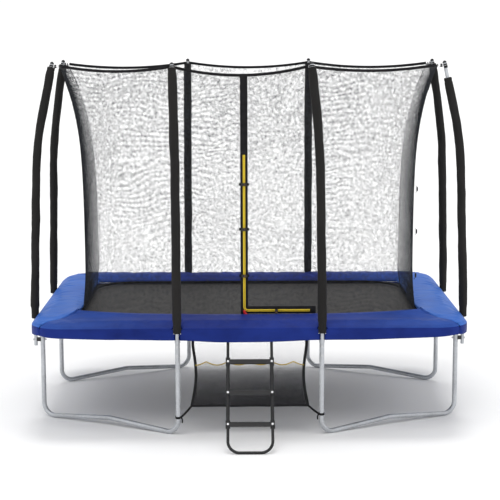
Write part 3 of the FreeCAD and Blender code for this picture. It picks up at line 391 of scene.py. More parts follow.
class Shape:
    """Points, faces and fabric distances that grow piece by piece into one mesh."""

    def __init__(self):
        self.points, self.uvs, self.faces = [], [], []

    def grid(self, rows, closed=False, capped=False):
        """Join rows of (point, uv) into quads; closed rows run round a ring, and may be capped."""
        start, width = len(self.points), len(rows[0])
        for row in rows:
            self.points += [tuple(point) for point, _ in row]
            self.uvs += [uv for _, uv in row]
        for low in range(len(rows) - 1):
            first = start + low * width
            second = first + width
            for index in range(width if closed or capped else width - 1):
                after = (index + 1) % width
                self.faces.append((first + index, first + after, second + after, second + index))
        if capped:
            end = len(self.points)
            self.faces += [tuple(reversed(range(start, start + width))), tuple(range(end - width, end))]

    def sweep(self, path, section, sides):
        """Push a closed outline of (side, out) along a path; sides gives its side direction."""
        rows, distance = [], 0.0
        for index, point in enumerate(path):
            tangent = run_at(path, index)
            side = sides[index] if isinstance(sides, list) else sides
            side = (side - tangent * side.dot(tangent)).normalized()
            out = tangent.cross(side)
            if index:
                distance += (point - path[index - 1]).length
            rows.append([(point + side * a + out * b, (distance, a)) for a, b in section])
        self.grid(rows, capped=True)

    def tube(self, path, radius, sides, side=None):
        """A round bar along a path."""
        guide = side or (path[-1] - path[0]).normalized().orthogonal().normalized()
        self.sweep(path, [(radius * cos(angle), radius * sin(angle)) for angle in turns(sides)], guide)

    def ribbon(self, path, width, thickness, sides):
        """A flat strap along a path, with rounded edges."""
        self.sweep(path, strap_section(width, thickness), sides)

    def block(self, centre, size, axes, rounding):
        """A block with rounded edges, as stacked outlines."""
        half = [value / 2 for value in size]
        steps = ((0.0, 1.0), (0.3, 0.45), (1.0, 0.0))
        levels = [(-half[2] + rounding * a, rounding * b) for a, b in steps]
        levels += [(-height, inset) for height, inset in reversed(levels)]
        rows = []
        for height, inset in levels:
            ring = []
            for sign_x, sign_y in ((1, 1), (-1, 1), (-1, -1), (1, -1)):
                for step in range(4):
                    angle = atan2(sign_y, sign_x) - pi / 4 + step * pi / 6
                    reach = rounding - inset * 0.8
                    a = sign_x * (half[0] - rounding) + reach * cos(angle)
                    b = sign_y * (half[1] - rounding) + reach * sin(angle)
                    ring.append((centre + axes[0] * a + axes[1] * b + axes[2] * height, (a, b)))
            rows.append(ring)
        self.grid(rows, capped=True)

    def ring(self, centre, radius, wire, axis, sides=20):
        """A closed ring of round wire."""
        first = axis.orthogonal().normalized()
        second = axis.cross(first).normalized()
        rows = []
        for angle in spread(0, 2 * pi, sides):
            out = first * cos(angle) + second * sin(angle)
            rows.append([(centre + out * (radius + wire * cos(around)) + axis * (wire * sin(around)),
                          (radius * angle, wire * around)) for around in turns(8)])
        self.grid(rows, closed=True)

    def make(self, name, material, body="frame", replaces=None):
        """Turn the shape into a named piece that rides on a body and may stand for a frame node."""
        mesh = bpy.data.meshes.new(name)
        mesh.from_pydata(self.points, [], self.faces)
        layer = mesh.uv_layers.new(name="fabric")
        for loop in mesh.loops:
            layer.data[loop.index].uv = self.uvs[loop.vertex_index]
        edit = bmesh.new()
        edit.from_mesh(mesh)
        bmesh.ops.remove_doubles(edit, verts=edit.verts, dist=1e-6)
        bmesh.ops.recalc_face_normals(edit, faces=edit.faces)
        edit.to_mesh(mesh)
        edit.free()
        for polygon in mesh.polygons:
            polygon.use_smooth = True
        mesh.materials.append(material)
        piece = bpy.data.objects.new(name, mesh)
        bpy.context.scene.collection.objects.link(piece)
        if body:
            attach(piece, body)
        if material != FLOOR:
            SLOTS.get(material, material.name.split(".")[0])
        if replaces:
            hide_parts(replaces)
        return piece


def follow_net(piece):
    """Bake the place of a piece on the net's wall into its mesh."""
    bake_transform(piece)
    return piece


# --- Poles and their foam sleeves ------------------------------------------------
class PoleLine:
    """The centreline of one bent pole, measured from the ground."""

    def __init__(self, name):
        points = [vertex.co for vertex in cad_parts["pole_" + name].data.vertices]
        low, high = min(point.z for point in points), max(point.z for point in points)
        start = self.average([point for point in points if point.z < low + 0.001])
        tip = self.average([point for point in points if point.z > high - 0.0085])
        self.lean = vec(tip.x - start.x, tip.y - start.y).normalized()
        shift = self.lean * (tan(POLE_TILT) * (start.z - POLE_TILT_HEIGHT))
        self.foot = vec(start.x - shift.x, start.y - shift.y)
        setback = POLE_TILT_RADIUS * tan(POLE_TILT / 2)
        sweep = POLE_BEND_ANGLE - POLE_TILT
        self.runs = (
            (POLE_TILT_HEIGHT - setback, 0.0),
            (POLE_TILT_RADIUS * POLE_TILT, POLE_TILT),
            ((POLE_BEND_START - POLE_TILT_HEIGHT) / cos(POLE_TILT) - setback, 0.0),
            (POLE_BEND_RADIUS * sweep, sweep),
            (POLE_TOP_RUN, 0.0),
        )
        self.length = sum(run for run, _ in self.runs)

    @staticmethod
    def average(points):
        return sum(points, vec()) / len(points)

    def at(self, distance):
        """The point and direction of the line at a distance along it."""
        point, angle = self.foot.copy(), 0.0
        for number, (run, turn) in enumerate(self.runs):
            part = distance if number == len(self.runs) - 1 else min(distance, run)
            if turn:
                radius = run / turn
                after = angle + part / radius
                across = radius * (cos(angle) - cos(after))
                rise = radius * (sin(after) - sin(angle))
                angle = after
            else:
                across, rise = part * sin(angle), part * cos(angle)
            point += self.lean * across + UP * rise
            distance -= part
            if distance <= 0:
                break
        return point, self.lean * sin(angle) + UP * cos(angle)

    def net_corner(self):
        return self.at(self.length)[0] + self.lean * NET_TOP_INSET - UP * NET_TOP_DROP


LINES = {name: PoleLine(name) for name in POLES}
SLEEVE_SIDES = 30
SLEEVE_STEP = 0.011
SLEEVE_HEM = 0.018
SLEEVE_GAPS = {"right_front": 0.110}  # bare pole above a sleeve; one has slipped down


def make_sleeve(name, seed):
    """A fabric sleeve over foam: soft facets, creases, a long seam and sewn hems."""
    line = LINES[name]
    low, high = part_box("foam_sleeve_" + name)[0].z, line.length - SLEEVE_GAPS.get(name, 0.026)
    across = UP.cross(-line.lean).normalized()
    shift = vec(seed * 3.7, seed * 1.3, seed * 2.1)

    def radius_at(distance, angle):
        x, y = cos(angle), sin(angle)
        facet = noise.noise(vec(x * 0.55, y * 0.55, distance * 5.5) + shift) * 0.0042
        crease = noise.noise(vec(x * 1.4, y * 1.4, distance * 17.0) - shift) * 0.0015
        pulled = abs(noise.noise(vec(angle * 0.9, distance * 2.6, seed))) ** 0.5 * 0.0012
        seam = 0.0016 * exp(-((x + 1) / 0.012) ** 2) if x < 0 else 0
        ends = min(distance - low, high - distance)
        taper = min(1.0, ends / 0.06)
        size = 0.0272 + 0.0042 * taper + (facet + crease) * taper + seam - pulled
        if ends < SLEEVE_HEM:
            size += 0.0009
        if abs(ends - SLEEVE_HEM) < SLEEVE_STEP * 0.6:
            size -= 0.0012
        if distance < 0.82:  # narrower where it stands in the pad's slot
            size = min(size, 0.0276 + 0.004 * max(0.0, (distance - 0.80) / 0.02))
        return size

    def ring(distance, push=0.0, size=None):
        """Points round the pole; with a size they belong to an end face."""
        point, tangent = line.at(distance)
        side = (across - tangent * across.dot(tangent)).normalized()
        out = tangent.cross(side)
        row = []
        for angle in turns(SLEEVE_SIDES):
            reach = size or radius_at(distance, angle)
            spot = point + tangent * push + side * (reach * cos(angle)) + out * (reach * sin(angle))
            row.append((spot, (0.0, size) if size else (distance, 0.031 * angle)))
        return row

    spots = spread(low, high, int((high - low) / SLEEVE_STEP))
    inner = POLE_RADIUS + 0.0005
    face = ((0.93, 0.0022), (0.8, 0.003), (0.5, 0.0012), (0.0, -0.002))
    bottom, top = [[ring(spot, sign * push, inner + (0.028 - inner) * share) for share, push in face]
                   for spot, sign in ((spots[0], -1), (spots[-1], 1))]
    shape = Shape()
    shape.grid(bottom[::-1] + [ring(spot) for spot in spots] + top, closed=True)
    shape.make("sleeve_" + name, SLEEVE, replaces="foam_sleeve_" + name)


# --- Edge pads -------------------------------------------------------------------
PAD_ROWS = 16
PAD_STEP, PAD_FINE_STEP = 0.017, 0.004
PAD_EDGE = 0.009
PAD_CROWN = 0.006
PAD_DROP, PAD_DROP_REACH = 0.028, 0.075
PAD_DENTS = {True: (0.0335, 0.0287), False: (0.0075, 0.022)}  # depth and reach: long sides, short sides
SLOT_HALF = {"front": 0.0252, "back": 0.0252, "left": 0.0178, "right": 0.0178}
SIM_FRAMES = 20
SIM_PRESSURE, SIM_GROWTH, SIM_LIMIT = 1.6, 0.012, 0.0085


def side_point(side, outline, distance):
    """A point on one side of a rounded rectangle, and its outward direction.

    The distance runs from the middle of the side and bends round the corners."""
    out = SIDES[side]
    along = UP.cross(out)
    half_x, half_y, radius = outline
    reach, half = (half_y, half_x) if out.y else (half_x, half_y)
    straight = half - radius
    if abs(distance) <= straight:
        return along * distance + out * reach, out.copy()
    sign = 1 if distance > 0 else -1
    angle = (abs(distance) - straight) / radius
    centre = along * (sign * straight) + out * (reach - radius)
    direction = along * (sign * sin(angle)) + out * cos(angle)
    return centre + direction * radius, direction


def side_length(side, outline):
    """Half the length of one side, from its middle round to the mitre."""
    return outline[0 if SIDES[side].y else 1] - outline[2] + outline[2] * pi / 4


def pole_places(side):
    """Where the two poles of a side stand, as distances from its middle."""
    return [LINES[name].foot.dot(UP.cross(SIDES[side])) for name in POLES if name.startswith(side)]


def pole_dent(side, distance, deep, reach):
    """How far the fabric is pushed in beside the poles."""
    return max(deep * exp(-((distance - place) / reach) ** 6) for place in pole_places(side))


def pad_columns(side):
    """Distances along the outer edge, closer together beside the poles."""
    limit, near = side_length(side, PAD_OUTER), 0.06
    spots = [limit * share for share in spread(-1, 1, int(2 * limit / PAD_STEP))]
    for place in pole_places(side):
        spots = [spot for spot in spots if abs(spot - place) > near]
        spots += [place + near * share for share in spread(-1, 1, int(2 * near / PAD_FINE_STEP))]
        spots += [place - SLOT_HALF[side] * 1.01, place + SLOT_HALF[side] * 1.01]
    return sorted(spots)


def pad_rise(side, share, from_inner, from_outer):
    """How the pad is lifted at its front inner corners, sags at the back and rolls off outside."""
    if side == "front":
        lift, puff = 0.022 + 0.036 * abs(share) ** 3, 0.0
    elif side == "back":
        lift, puff = -0.016, 0.013
    else:
        forward = -share * UP.cross(SIDES[side]).y
        lift = 0.058 * forward ** 3 if forward > 0 else -0.016 * forward ** 2
        puff = 0.013 * min(0.0, forward) ** 2
    span = 0.20 if lift > 0 else 0.055
    rise = lift * max(0.0, 1 - from_inner / span) ** 2
    rise += puff * min(1.0, max(0.0, from_inner) / 0.14) * min(1.0, max(0.0, from_outer) / 0.07)
    return rise - PAD_DROP * max(0.0, 1 - from_outer / PAD_DROP_REACH) ** 1.7


def make_pad(side):
    """One padded side: foam in coated fabric, crowned between its sewn edges."""
    outer_limit, inner_limit = side_length(side, PAD_OUTER), side_length(side, PAD_INNER)
    crown = range(5, 4 + PAD_ROWS)
    edge = PAD_EDGE
    rows = []
    for spot in pad_columns(side):
        share = spot / outer_limit
        outer, out = side_point(side, PAD_OUTER, spot * 0.9995)
        inner, _ = side_point(side, PAD_INNER, share * inner_limit * 0.9992)
        full = (outer - inner).length
        outer = outer - out * (pole_dent(side, spot, *PAD_DENTS[bool(SIDES[side].y)]) + 0.002)
        width = (outer - inner).length
        across = (outer - inner) / width
        loop = [(0.0, PAD_LOW + 0.001), (0.0, PAD_LOW + 0.007), (0.0, PAD_TOP - edge),
                (edge * 0.3, PAD_TOP - edge * 0.35), (edge, PAD_TOP - 0.001)]
        loop += [(edge + (width - 2 * edge) * step / PAD_ROWS, PAD_TOP) for step in range(1, PAD_ROWS)]
        loop += [(width - edge, PAD_TOP), (width - edge * 0.3, PAD_TOP - 0.001), (width, PAD_TOP - 0.004),
                 (width, PAD_LOW + 0.013), (width, PAD_LOW + 0.010), (width - 0.012, PAD_LOW + 0.009),
                 (width - 0.030, PAD_LOW + 0.003)]
        loop += [((width - 0.030) * (1 - step / 5), PAD_LOW + 0.0005) for step in range(1, 5)]
        row = []
        for number, (distance, height) in enumerate(loop):
            point = inner + across * distance
            rise = pad_rise(side, share, distance, full - distance)
            if number > 9 + PAD_ROWS or number < 2:
                rise = max(min(rise, rise * 0.35), -0.014)
            if number in crown:
                swell = PAD_CROWN + lumps(point.x * 2.2, point.y * 2.2, 4.0, 0.0032)
                swell += lumps(point.x * 9.0, point.y * 9.0, 9.0, 0.0014)
                rise += swell * sin(pi * (number - 4) / PAD_ROWS) ** 0.6
            row.append((vec(point.x, point.y, height + rise), (spot, min(distance, width - distance))))
        rows.append(row)
    shape = Shape()
    shape.grid(rows, capped=True)
    piece = shape.make("cushion_" + side, VINYL, replaces="pad_" + side)
    inflate(piece, {index * len(rows[0]) + number for index in range(2, len(rows) - 2) for number in crown})
    finer = piece.modifiers.new("finer", "SUBSURF")
    finer.levels = finer.render_levels = 1
    mesh = bpy.data.meshes.new_from_object(piece.evaluated_get(bpy.context.evaluated_depsgraph_get()))
    piece.modifiers.clear()
    piece.data = mesh


def inflate(piece, free):
    """Let air pressure swell and wrinkle the free fabric between its sewn edges."""
    mesh, scene = piece.data, bpy.context.scene
    rest = [vertex.co.copy() for vertex in mesh.vertices]
    seams = piece.vertex_groups.new(name="seams")
    seams.add([index for index in range(len(rest)) if index not in free], 1.0, "REPLACE")
    cloth = piece.modifiers.new("Cloth", "CLOTH")
    for key, value in {
        "quality": 5, "mass": 0.3, "air_damping": 2.0, "tension_stiffness": 18, "compression_stiffness": 18,
        "shear_stiffness": 8, "bending_stiffness": 0.35, "vertex_group_mass": "seams", "shrink_min": -SIM_GROWTH,
        "use_pressure": True, "uniform_pressure_force": SIM_PRESSURE,
    }.items():
        setattr(cloth.settings, key, value)
    cloth.settings.effector_weights.gravity = 0
    cloth.collision_settings.use_collision = cloth.collision_settings.use_self_collision = False
    cloth.point_cache.frame_start, cloth.point_cache.frame_end = 1, SIM_FRAMES
    for number in range(1, SIM_FRAMES + 1):
        scene.frame_set(number)
    settled = piece.evaluated_get(bpy.context.evaluated_depsgraph_get()).data
    moved = [vertex.co.copy() for vertex in settled.vertices]
    piece.modifiers.remove(cloth)
    piece.vertex_groups.clear()
    scene.frame_set(1)
    for vertex, before, after in zip(mesh.vertices, rest, moved):
        step = after - before
        if step.length > SIM_LIMIT:
            step = step * (SIM_LIMIT / step.length)
        vertex.co = before + step
    mesh.update()


SKIRT_ROWS = 10
SKIRT_TOP = PAD_LOW - 0.015
SKIRT_CLOTH, SKIRT_HEM = 0.0012, 0.016
SLOT_TOP = 0.7335


def make_skirt(side):
    """The fabric that hangs from a pad's outer edge in soft waves to a sewn hem."""
    deep, reach = (0.0175, 0.0175) if SIDES[side].y else (0.0, 1.0)
    limit = side_length(side, PAD_OUTER)
    drop = SKIRT_TOP - SKIRT_LOW
    places = pole_places(side)

    def fabric(spot, step, face):
        """A point of the skirt and its fabric distances; the face is -1 inside and 1 outside."""
        share = step / SKIRT_ROWS
        height = SKIRT_TOP + (SKIRT_LOW + 0.001 - SKIRT_TOP) * share
        base, out = side_point(side, PAD_OUTER, spot * 0.9995)
        wave = lumps(spot * 4.2, 11.0 + out.x * 3, out.y * 3, 0.010)
        wave += lumps(spot * 14.0, 3.0 + out.x, out.y * 2, 0.003)
        away = min([1.0] + [abs(spot - place) / 0.09 for place in places])
        hem = 0.0006 if share > 1 - SKIRT_HEM / drop else 0.0
        offset = wave * share ** 1.4 * away + 0.002 * sin(pi * share) - 0.004 * share
        offset += face * (SKIRT_CLOTH / 2 + hem) - pole_dent(side, spot, deep, reach) - 0.0025
        rise = (lumps(spot * 2.0, 21.0, out.x + out.y * 2, 0.004) + 0.024 * abs(spot / limit) ** 3) * share
        if side == "front":
            rise -= 0.013 * exp(-(spot / 0.36) ** 4) * share
        point = base + out * offset
        return vec(point.x, point.y, height + rise), (spot, SKIRT_TOP - height + 0.03)

    columns, steps = pad_columns(side), range(SKIRT_ROWS + 1)
    rings = [[fabric(spot, step, -1) for step in steps] + [fabric(spot, step, 1) for step in reversed(steps)]
             for spot in columns]
    slot_rows = sum(1 for step in steps if SKIRT_TOP + (SKIRT_LOW - SKIRT_TOP) * step / SKIRT_ROWS > SLOT_TOP)
    shape = Shape()
    for begin, end, lowered in split_runs(columns, places, SLOT_HALF[side]):
        first = slot_rows if lowered else 0
        shape.grid([ring[first:len(ring) - first] for ring in rings[begin:end + 1]], capped=True)
    piece = shape.make("skirt_" + side, VINYL)
    if side == "front":
        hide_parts("pad_front_skirt")
        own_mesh(piece)


def split_runs(columns, places, half_slot):
    """Stretches of columns: full height, or lowered where a sleeve stands in the skirt."""
    runs, begin = [], 0
    for place in sorted(places):
        left = max(index for index, spot in enumerate(columns) if spot < place - half_slot)
        right = min(index for index, spot in enumerate(columns) if spot > place + half_slot)
        runs += [(begin, left, False), (left, right, True)]
        begin = right
    return runs + [(begin, len(columns) - 1, False)]


def make_mitres():
    """Piped seams where neighbouring pads meet, over the top and down the corner."""
    shape = Shape()
    for sign_x, sign_y in product((-1, 1), repeat=2):
        inner, outer = [
            vec(sign_x * (half_x - corner * (1 - sqrt(0.5))), sign_y * (half_y - corner * (1 - sqrt(0.5))))
            for half_x, half_y, corner in (PAD_INNER, PAD_OUTER)]
        out, full = (outer - inner).normalized(), (outer - inner).length
        face = "front" if sign_y < 0 else "back"
        lift, rolled = pad_rise(face, 1.0, 0.0, full), PAD_TOP - PAD_DROP
        path = [inner + out * reach + UP * (height + lift) for reach, height in
                ((-0.001, PAD_LOW + 0.002), (-0.001, PAD_TOP - 0.005), (0.005, PAD_TOP + 0.001))]
        for step in range(1, 14):
            reach = full * step / 14
            path.append(inner + out * reach + UP * (PAD_TOP + 0.0035 + pad_rise(face, 1.0, reach, full - reach)))
        path += [outer - out * back + UP * height for back, height in
                 ((0.003, rolled + 0.001), (0.001, rolled - 0.012), (0.002, rolled - 0.030),
                  (0.006, SKIRT_LOW + 0.026))]
        side = vec(-out.y, out.x)
        shape.tube(smoothed(path), 0.0032, 8, side)
        shape.ribbon([point - UP * 0.0006 for point in path[3:16]], 0.036, 0.0022, side)
    shape.make("pad_mitre_piping", VINYL)


# --- Safety net ------------------------------------------------------------------
NET_ROWS, NET_COLUMNS = 56, 44
NET_WAIST = 0.022
HEM_RISE = 0.022
HEM_SAG = {"front": 0.060, "back": 0.040}
HEM_SAG_ELSEWHERE = 0.036
RING_ORDER = (
    "front_left", "front_right", "right_front", "right_back",
    "back_right", "back_left", "left_back", "left_front",
)
CORD_STEP, CORD_ROWS, CORD_GAP = 0.007, 28, 0.0003
CORD_DEPTHS = {"front_left": 0.36, "left_front": 0.80, "left_back": 0.44, "back_left": 0.16}  # millimetres


def foot_of(name):
    """The point at the net's foot below one strapped corner, and its outward direction."""
    side, hand = name.split("_")
    out = SIDES[side]
    if out.y:
        return vec(UPRIGHT_X if hand == "right" else -UPRIGHT_X, NET_FOOT_Y * out.y, NET_LOW.z), out
    return vec(NET_FOOT_X * out.x, (UPRIGHT_Y - 0.080) * (1 if hand == "back" else -1), NET_LOW.z), out


class NetPanel:
    """The stretch of net between two neighbouring poles."""

    def __init__(self, *names):
        self.names = names
        self.first, self.second = [LINES[name].net_corner() for name in names]
        (self.low_first, self.out_first), (self.low_second, self.out_second) = map(foot_of, names)
        sides = [name.split("_")[0] for name in names]
        self.corner = sides[0] != sides[1]
        self.sag = HEM_SAG_ELSEWHERE if self.corner else HEM_SAG.get(sides[0], HEM_SAG_ELSEWHERE)
        self.fronts = [1.0 if side == "front" else 0.0 for side in sides]
        self.width = (self.low_second - self.low_first).length

    def foot(self, share):
        """The foot point and outward direction at a share of the way along."""
        if not self.corner:
            return self.low_first.lerp(self.low_second, share), self.out_first
        square = self.out_first + self.out_second
        centre = vec(square.x * NET_FOOT_X, square.y * NET_FOOT_Y, NET_LOW.z) - square * NET_FOOT_CORNER
        if share < 0.45:
            return self.low_first.lerp(centre + self.out_first * NET_FOOT_CORNER, share / 0.45), self.out_first
        if share > 0.65:
            arc_end = centre + self.out_second * NET_FOOT_CORNER
            return arc_end.lerp(self.low_second, (share - 0.65) / 0.35), self.out_second
        angle = (share - 0.45) / 0.2 * pi / 2
        out = self.out_first * cos(angle) + self.out_second * sin(angle)
        return centre + out * NET_FOOT_CORNER, out

    def top(self, share):
        """The sagging top edge between two straps."""
        sag = self.sag * (1 - (2 * share - 1) ** 2)
        return self.first.lerp(self.second, share) + UP * (HEM_RISE - sag)

    def at(self, share, level):
        """A point of the net, level 0 at its foot and 1 at its top edge."""
        (low, out), top = self.foot(share), self.top(share)
        front = self.fronts[0] * (1 - share) + self.fronts[1] * share
        level = max(0.0, level)
        flare = front * max(0.0, (level - 0.6) / 0.4) ** 1.6 + (1 - front) * level ** 4.7
        if self.corner:
            flare += (level ** 1.5 - flare) * (0.7 * 4 * share * (1 - share))
        point = low.lerp(top, flare)
        point.z = low.z + (top.z - low.z) * level
        return point - out * (NET_WAIST * (1 - front) * min(1.0, level / 0.12) * (1 - level ** 5))


PANELS = [NetPanel(RING_ORDER[index], RING_ORDER[(index + 1) % 8]) for index in range(8)]


def front_face(x, z, gap):
    """A point in front of the door side of the net, at one x and height."""
    front, share = PANELS[0], 0.5
    for _ in range(4):
        level = (z - NET_LOW.z) / (front.top(share).z - NET_LOW.z)
        left, right = front.at(0.0, level).x, front.at(1.0, level).x
        share = min(1.0, max(0.0, (x - left) / (right - left)))
    return vec(x, front.at(share, level).y - gap, z)


def make_net():
    """The mesh wall, pulled into shallow folds below its straps, with its cords and webbing."""
    columns, walked = [], 0.0
    for number, panel in enumerate(PANELS):
        for share in spread(0, 1, NET_COLUMNS)[:-1]:
            columns.append((panel, share, walked + panel.width * share, number))
        walked += panel.width
    columns.append((PANELS[0], 0.0, walked, 0))
    rows = []
    for level in spread(0, 1, NET_ROWS):
        row = []
        for panel, share, distance, number in columns:
            fold = cos(share * pi * 14) * 0.0045 * level ** 2.5 * exp(-min(share, 1 - share) / 0.12)
            ripple = lumps(distance * 2.2, level * 2.4, 0.5, 0.006) + lumps(distance * 9.0, level * 3.0, 2.5, 0.0018)
            push = fold * (1 - level ** 12) + ripple * max(0.0, sin(pi * level)) ** 0.5
            if number == 0:  # the door lies against the front
                push = min(push, 0.0015)
            height = (panel.top(share).z - NET_LOW.z) * level
            row.append((panel.at(share, level) + panel.foot(share)[1] * push, (distance, height)))
        rows.append(row)
    shape = Shape()
    shape.grid(rows)
    wall = follow_net(shape.make("net_wall", NET, body=None, replaces="safety_net"))
    make_cords()
    make_hem()
    make_foot_hem()
    make_seams()


def make_cords():
    """The net's upright cords, which stand a little proud of the mesh."""
    shape = Shape()
    for panel in PANELS:
        ends = [CORD_DEPTHS[name.replace("right", "left")] * 0.001 for name in panel.names]
        if panel.corner and not any(panel.fronts):
            ends = [depth * 0.45 for depth in ends]
        count = int(panel.width / CORD_STEP)
        for index in range(count):
            share = (index + 0.5) / count
            depth = ends[0] + (ends[1] - ends[0]) * share
            rows = []
            for level in spread(0, 1, CORD_ROWS):
                point = panel.at(share, level)
                run = panel.at(min(1.0, share + 0.01), level) - panel.at(max(0.0, share - 0.01), level)
                out = run.normalized().cross(UP).normalized()
                rows.append([(point + out * (CORD_GAP + reach), (reach, point.z)) for reach in (0.0, depth)])
            shape.grid(rows)
    return follow_net(shape.make("net_wall_cords", CORD, body=None))


def make_hem():
    """Folded webbing along the net's top edge, sagging between the straps."""
    shape, steps = Shape(), range(41)
    for panel in PANELS:
        path = [panel.top(0.012 + 0.976 * step / 40) + UP * 0.002 for step in steps]
        out = (panel.second - panel.first).normalized().cross(UP)
        twist = [(UP + out * lumps(step * 0.18, panel.width * 7, 1.0, 0.25)).normalized() for step in steps]
        shape.ribbon(path, 0.020, 0.0042, twist)
    return shape.make("net_top_hem", WEBBING, replaces="net_hem")


def make_foot_hem():
    """The net's foot: a webbing edge sewn round the mat."""
    path = [panel.foot(step / 24)[0] + UP * 0.010 for panel in PANELS for step in range(24)]
    shape = Shape()
    shape.ribbon(path + [path[0].copy()], 0.018, 0.0035, UP)
    return shape.make("net_foot_hem", WEBBING, body="mat")


def make_seams():
    """Webbing reinforcement up the net below each strap."""
    shape = Shape()
    for panel in PANELS:
        path = [panel.at(0.004, 0.9 + 0.098 * share) + panel.out_first * 0.002 for share in spread(0, 1, 8)]
        shape.ribbon(path, 0.028, 0.002, UP.cross(panel.out_first))
    return shape.make("net_corner_patches", WEBBING)


def make_straps():
    """Strap, ring and hook between each net corner and its pole tip."""
    straps, metal = Shape(), Shape()
    for line in LINES.values():
        tip, slope = line.at(line.length)
        corner = line.net_corner() + UP * HEM_RISE
        across = UP.cross(line.lean).normalized()
        anchor = tip - slope * 0.018
        outwards = (anchor - corner).normalized()
        ring_centre = corner + outwards * 0.013
        eye = anchor - outwards * (POLE_RADIUS + 0.0065)
        metal.ring(ring_centre, 0.0095, 0.0018, across)
        metal.ring(anchor, POLE_RADIUS + 0.0022, 0.0017, slope, 24)
        metal.ring(eye, 0.0055, 0.0016, across)
        start = ring_centre + outwards * 0.006
        path = [start, start.lerp(eye, 0.5) - UP * ((eye - start).length * 0.08), eye]
        straps.ribbon(smoothed(path), 0.024, 0.0026, outwards.cross(across).normalized())
        wrap = []
        for angle in spread(-0.75 * pi, 0.75 * pi, 12):
            ray = line.lean * cos(angle) + across * sin(angle)
            flat = (ray - slope * ray.dot(slope)).normalized()
            wrap.append(anchor - slope * 0.004 - flat * (POLE_RADIUS + 0.0022))
        straps.ribbon(wrap, 0.030, 0.0026, slope)
    straps.make("net_tip_straps", WEBBING, replaces="net_straps")
    metal.make("net_tip_hooks", ZINC)


# --- Door ------------------------------------------------------------------------
DOOR_X = ZIP_LOW.x + 0.011
BAND_HALF = 0.026
ZIP_HALF, ZIP_TURN = 0.0098, 0.026
ZIP_LIFT = 0.014
ZIP_SILL = ZIP_LOW.z + 0.011 + ZIP_LIFT


def front_ribbon(shape, spots, width, thickness, gap):
    """A strap laid on the net's front face along (x, z) spots."""
    path = [front_face(x, z, gap) for x, z in spots]
    shape.ribbon(path, width, thickness, [run_at(path, index).cross(Y).normalized() for index in range(len(path))])


def make_door():
    """The door's webbing band, its zip tape and the coil of its teeth."""
    low, band = BAND_LOW.z + BAND_HALF + ZIP_LIFT, Shape()
    rise = [(DOOR_X, z) for z in [BAND_LOW.z + 0.001] + spread(low, BAND_HIGH.z - 0.028, 60)]
    front_ribbon(band, rise, 2 * BAND_HALF, 0.0022, 0.0045)
    start = DOOR_X + BAND_HALF - 0.002
    across = [(start + (BAND_HIGH.x - DOOR_X - BAND_HALF) * share, low) for share in spread(0, 1, 24)]
    front_ribbon(band, across, 2 * BAND_HALF, 0.0022, 0.0043)
    follow_net(band.make("door_webbing", WEBBING, body=None, replaces="door_band"))

    top = ZIP_HIGH.z - 0.004
    spots = [(DOOR_X, top - (ZIP_HIGH.z - ZIP_SILL - ZIP_TURN) * share) for share in spread(0, 1, 60)]
    for angle in spread(0, pi / 2, 8)[1:-1]:
        spots.append((DOOR_X + ZIP_TURN * (1 - cos(angle)), ZIP_SILL + ZIP_TURN * (1 - sin(angle))))
    spots += [(x, ZIP_SILL) for x in spread(DOOR_X + ZIP_TURN, ZIP_HIGH.x - 0.003, 24)]
    tape, coil = Shape(), Shape()
    front_ribbon(tape, spots, 2 * ZIP_HALF, 0.0016, 0.0068)
    follow_net(tape.make("door_zip_tape", ZIP, body=None, replaces="door_zip"))
    front_ribbon(coil, spots, 0.0036, 0.002, 0.0082)
    follow_net(coil.make("door_zip_coil", ZIP, body=None))


def make_slider():
    """The zip slider: a waisted body, a bridge and a rounded red pull tab."""
    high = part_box("zip_slider")[1]
    centre = vec(DOOR_X, high.y - 0.0035, high.z - 0.011)
    axes = (X, UP, -Y)
    shape, tab = Shape(), Shape()
    shape.block(centre + UP * 0.004, (0.0185, 0.015, 0.007), axes, 0.002)
    shape.block(centre - UP * 0.006, (0.0145, 0.013, 0.006), axes, 0.002)
    bridge = ((0.003, 0.008), (0.0062, 0.004), (0.0062, -0.005), (0.003, -0.009))
    shape.ribbon(smoothed([centre + vec(0, -out, rise) for out, rise in bridge]), 0.004, 0.0016, X)
    shape.make("slider_body", RED, body="zip_pull", replaces="zip_slider")
    tilt = radians(40)
    hang = vec(sin(tilt), 0, -cos(tilt))
    across = hang.cross(Y).normalized()
    top = centre + vec(0, -0.0066, -0.003)
    tab.ring(top + hang * 0.002, 0.0036, 0.0011, Y)
    tab.block(top + hang * 0.021, (0.017, 0.031, 0.0026), (across, hang, Y), 0.0012)
    tab.block(top + hang * 0.027, (0.0102, 0.012, 0.0036), (across, hang, Y), 0.0012)
    tab.make("slider_tab", RED, body="zip_pull")


def loose_centres(node):
    """The centre and size of every separate solid in a frame piece."""
    edit = bmesh.new()
    edit.from_mesh(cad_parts[node].data)
    bmesh.ops.remove_doubles(edit, verts=edit.verts, dist=1e-6)
    seen, found = set(), []
    for vertex in edit.verts:
        if vertex.index in seen:
            continue
        stack, points = [vertex], []
        seen.add(vertex.index)
        while stack:
            current = stack.pop()
            points.append(current.co.copy())
            for edge in current.link_edges:
                other = edge.other_vert(current)
                if other.index not in seen:
                    seen.add(other.index)
                    stack.append(other)
        low, high = [Vector([pick(point[axis] for point in points) for axis in range(3)]) for pick in (min, max)]
        found.append(((low + high) * 0.5, high - low))
    edit.free()
    return found


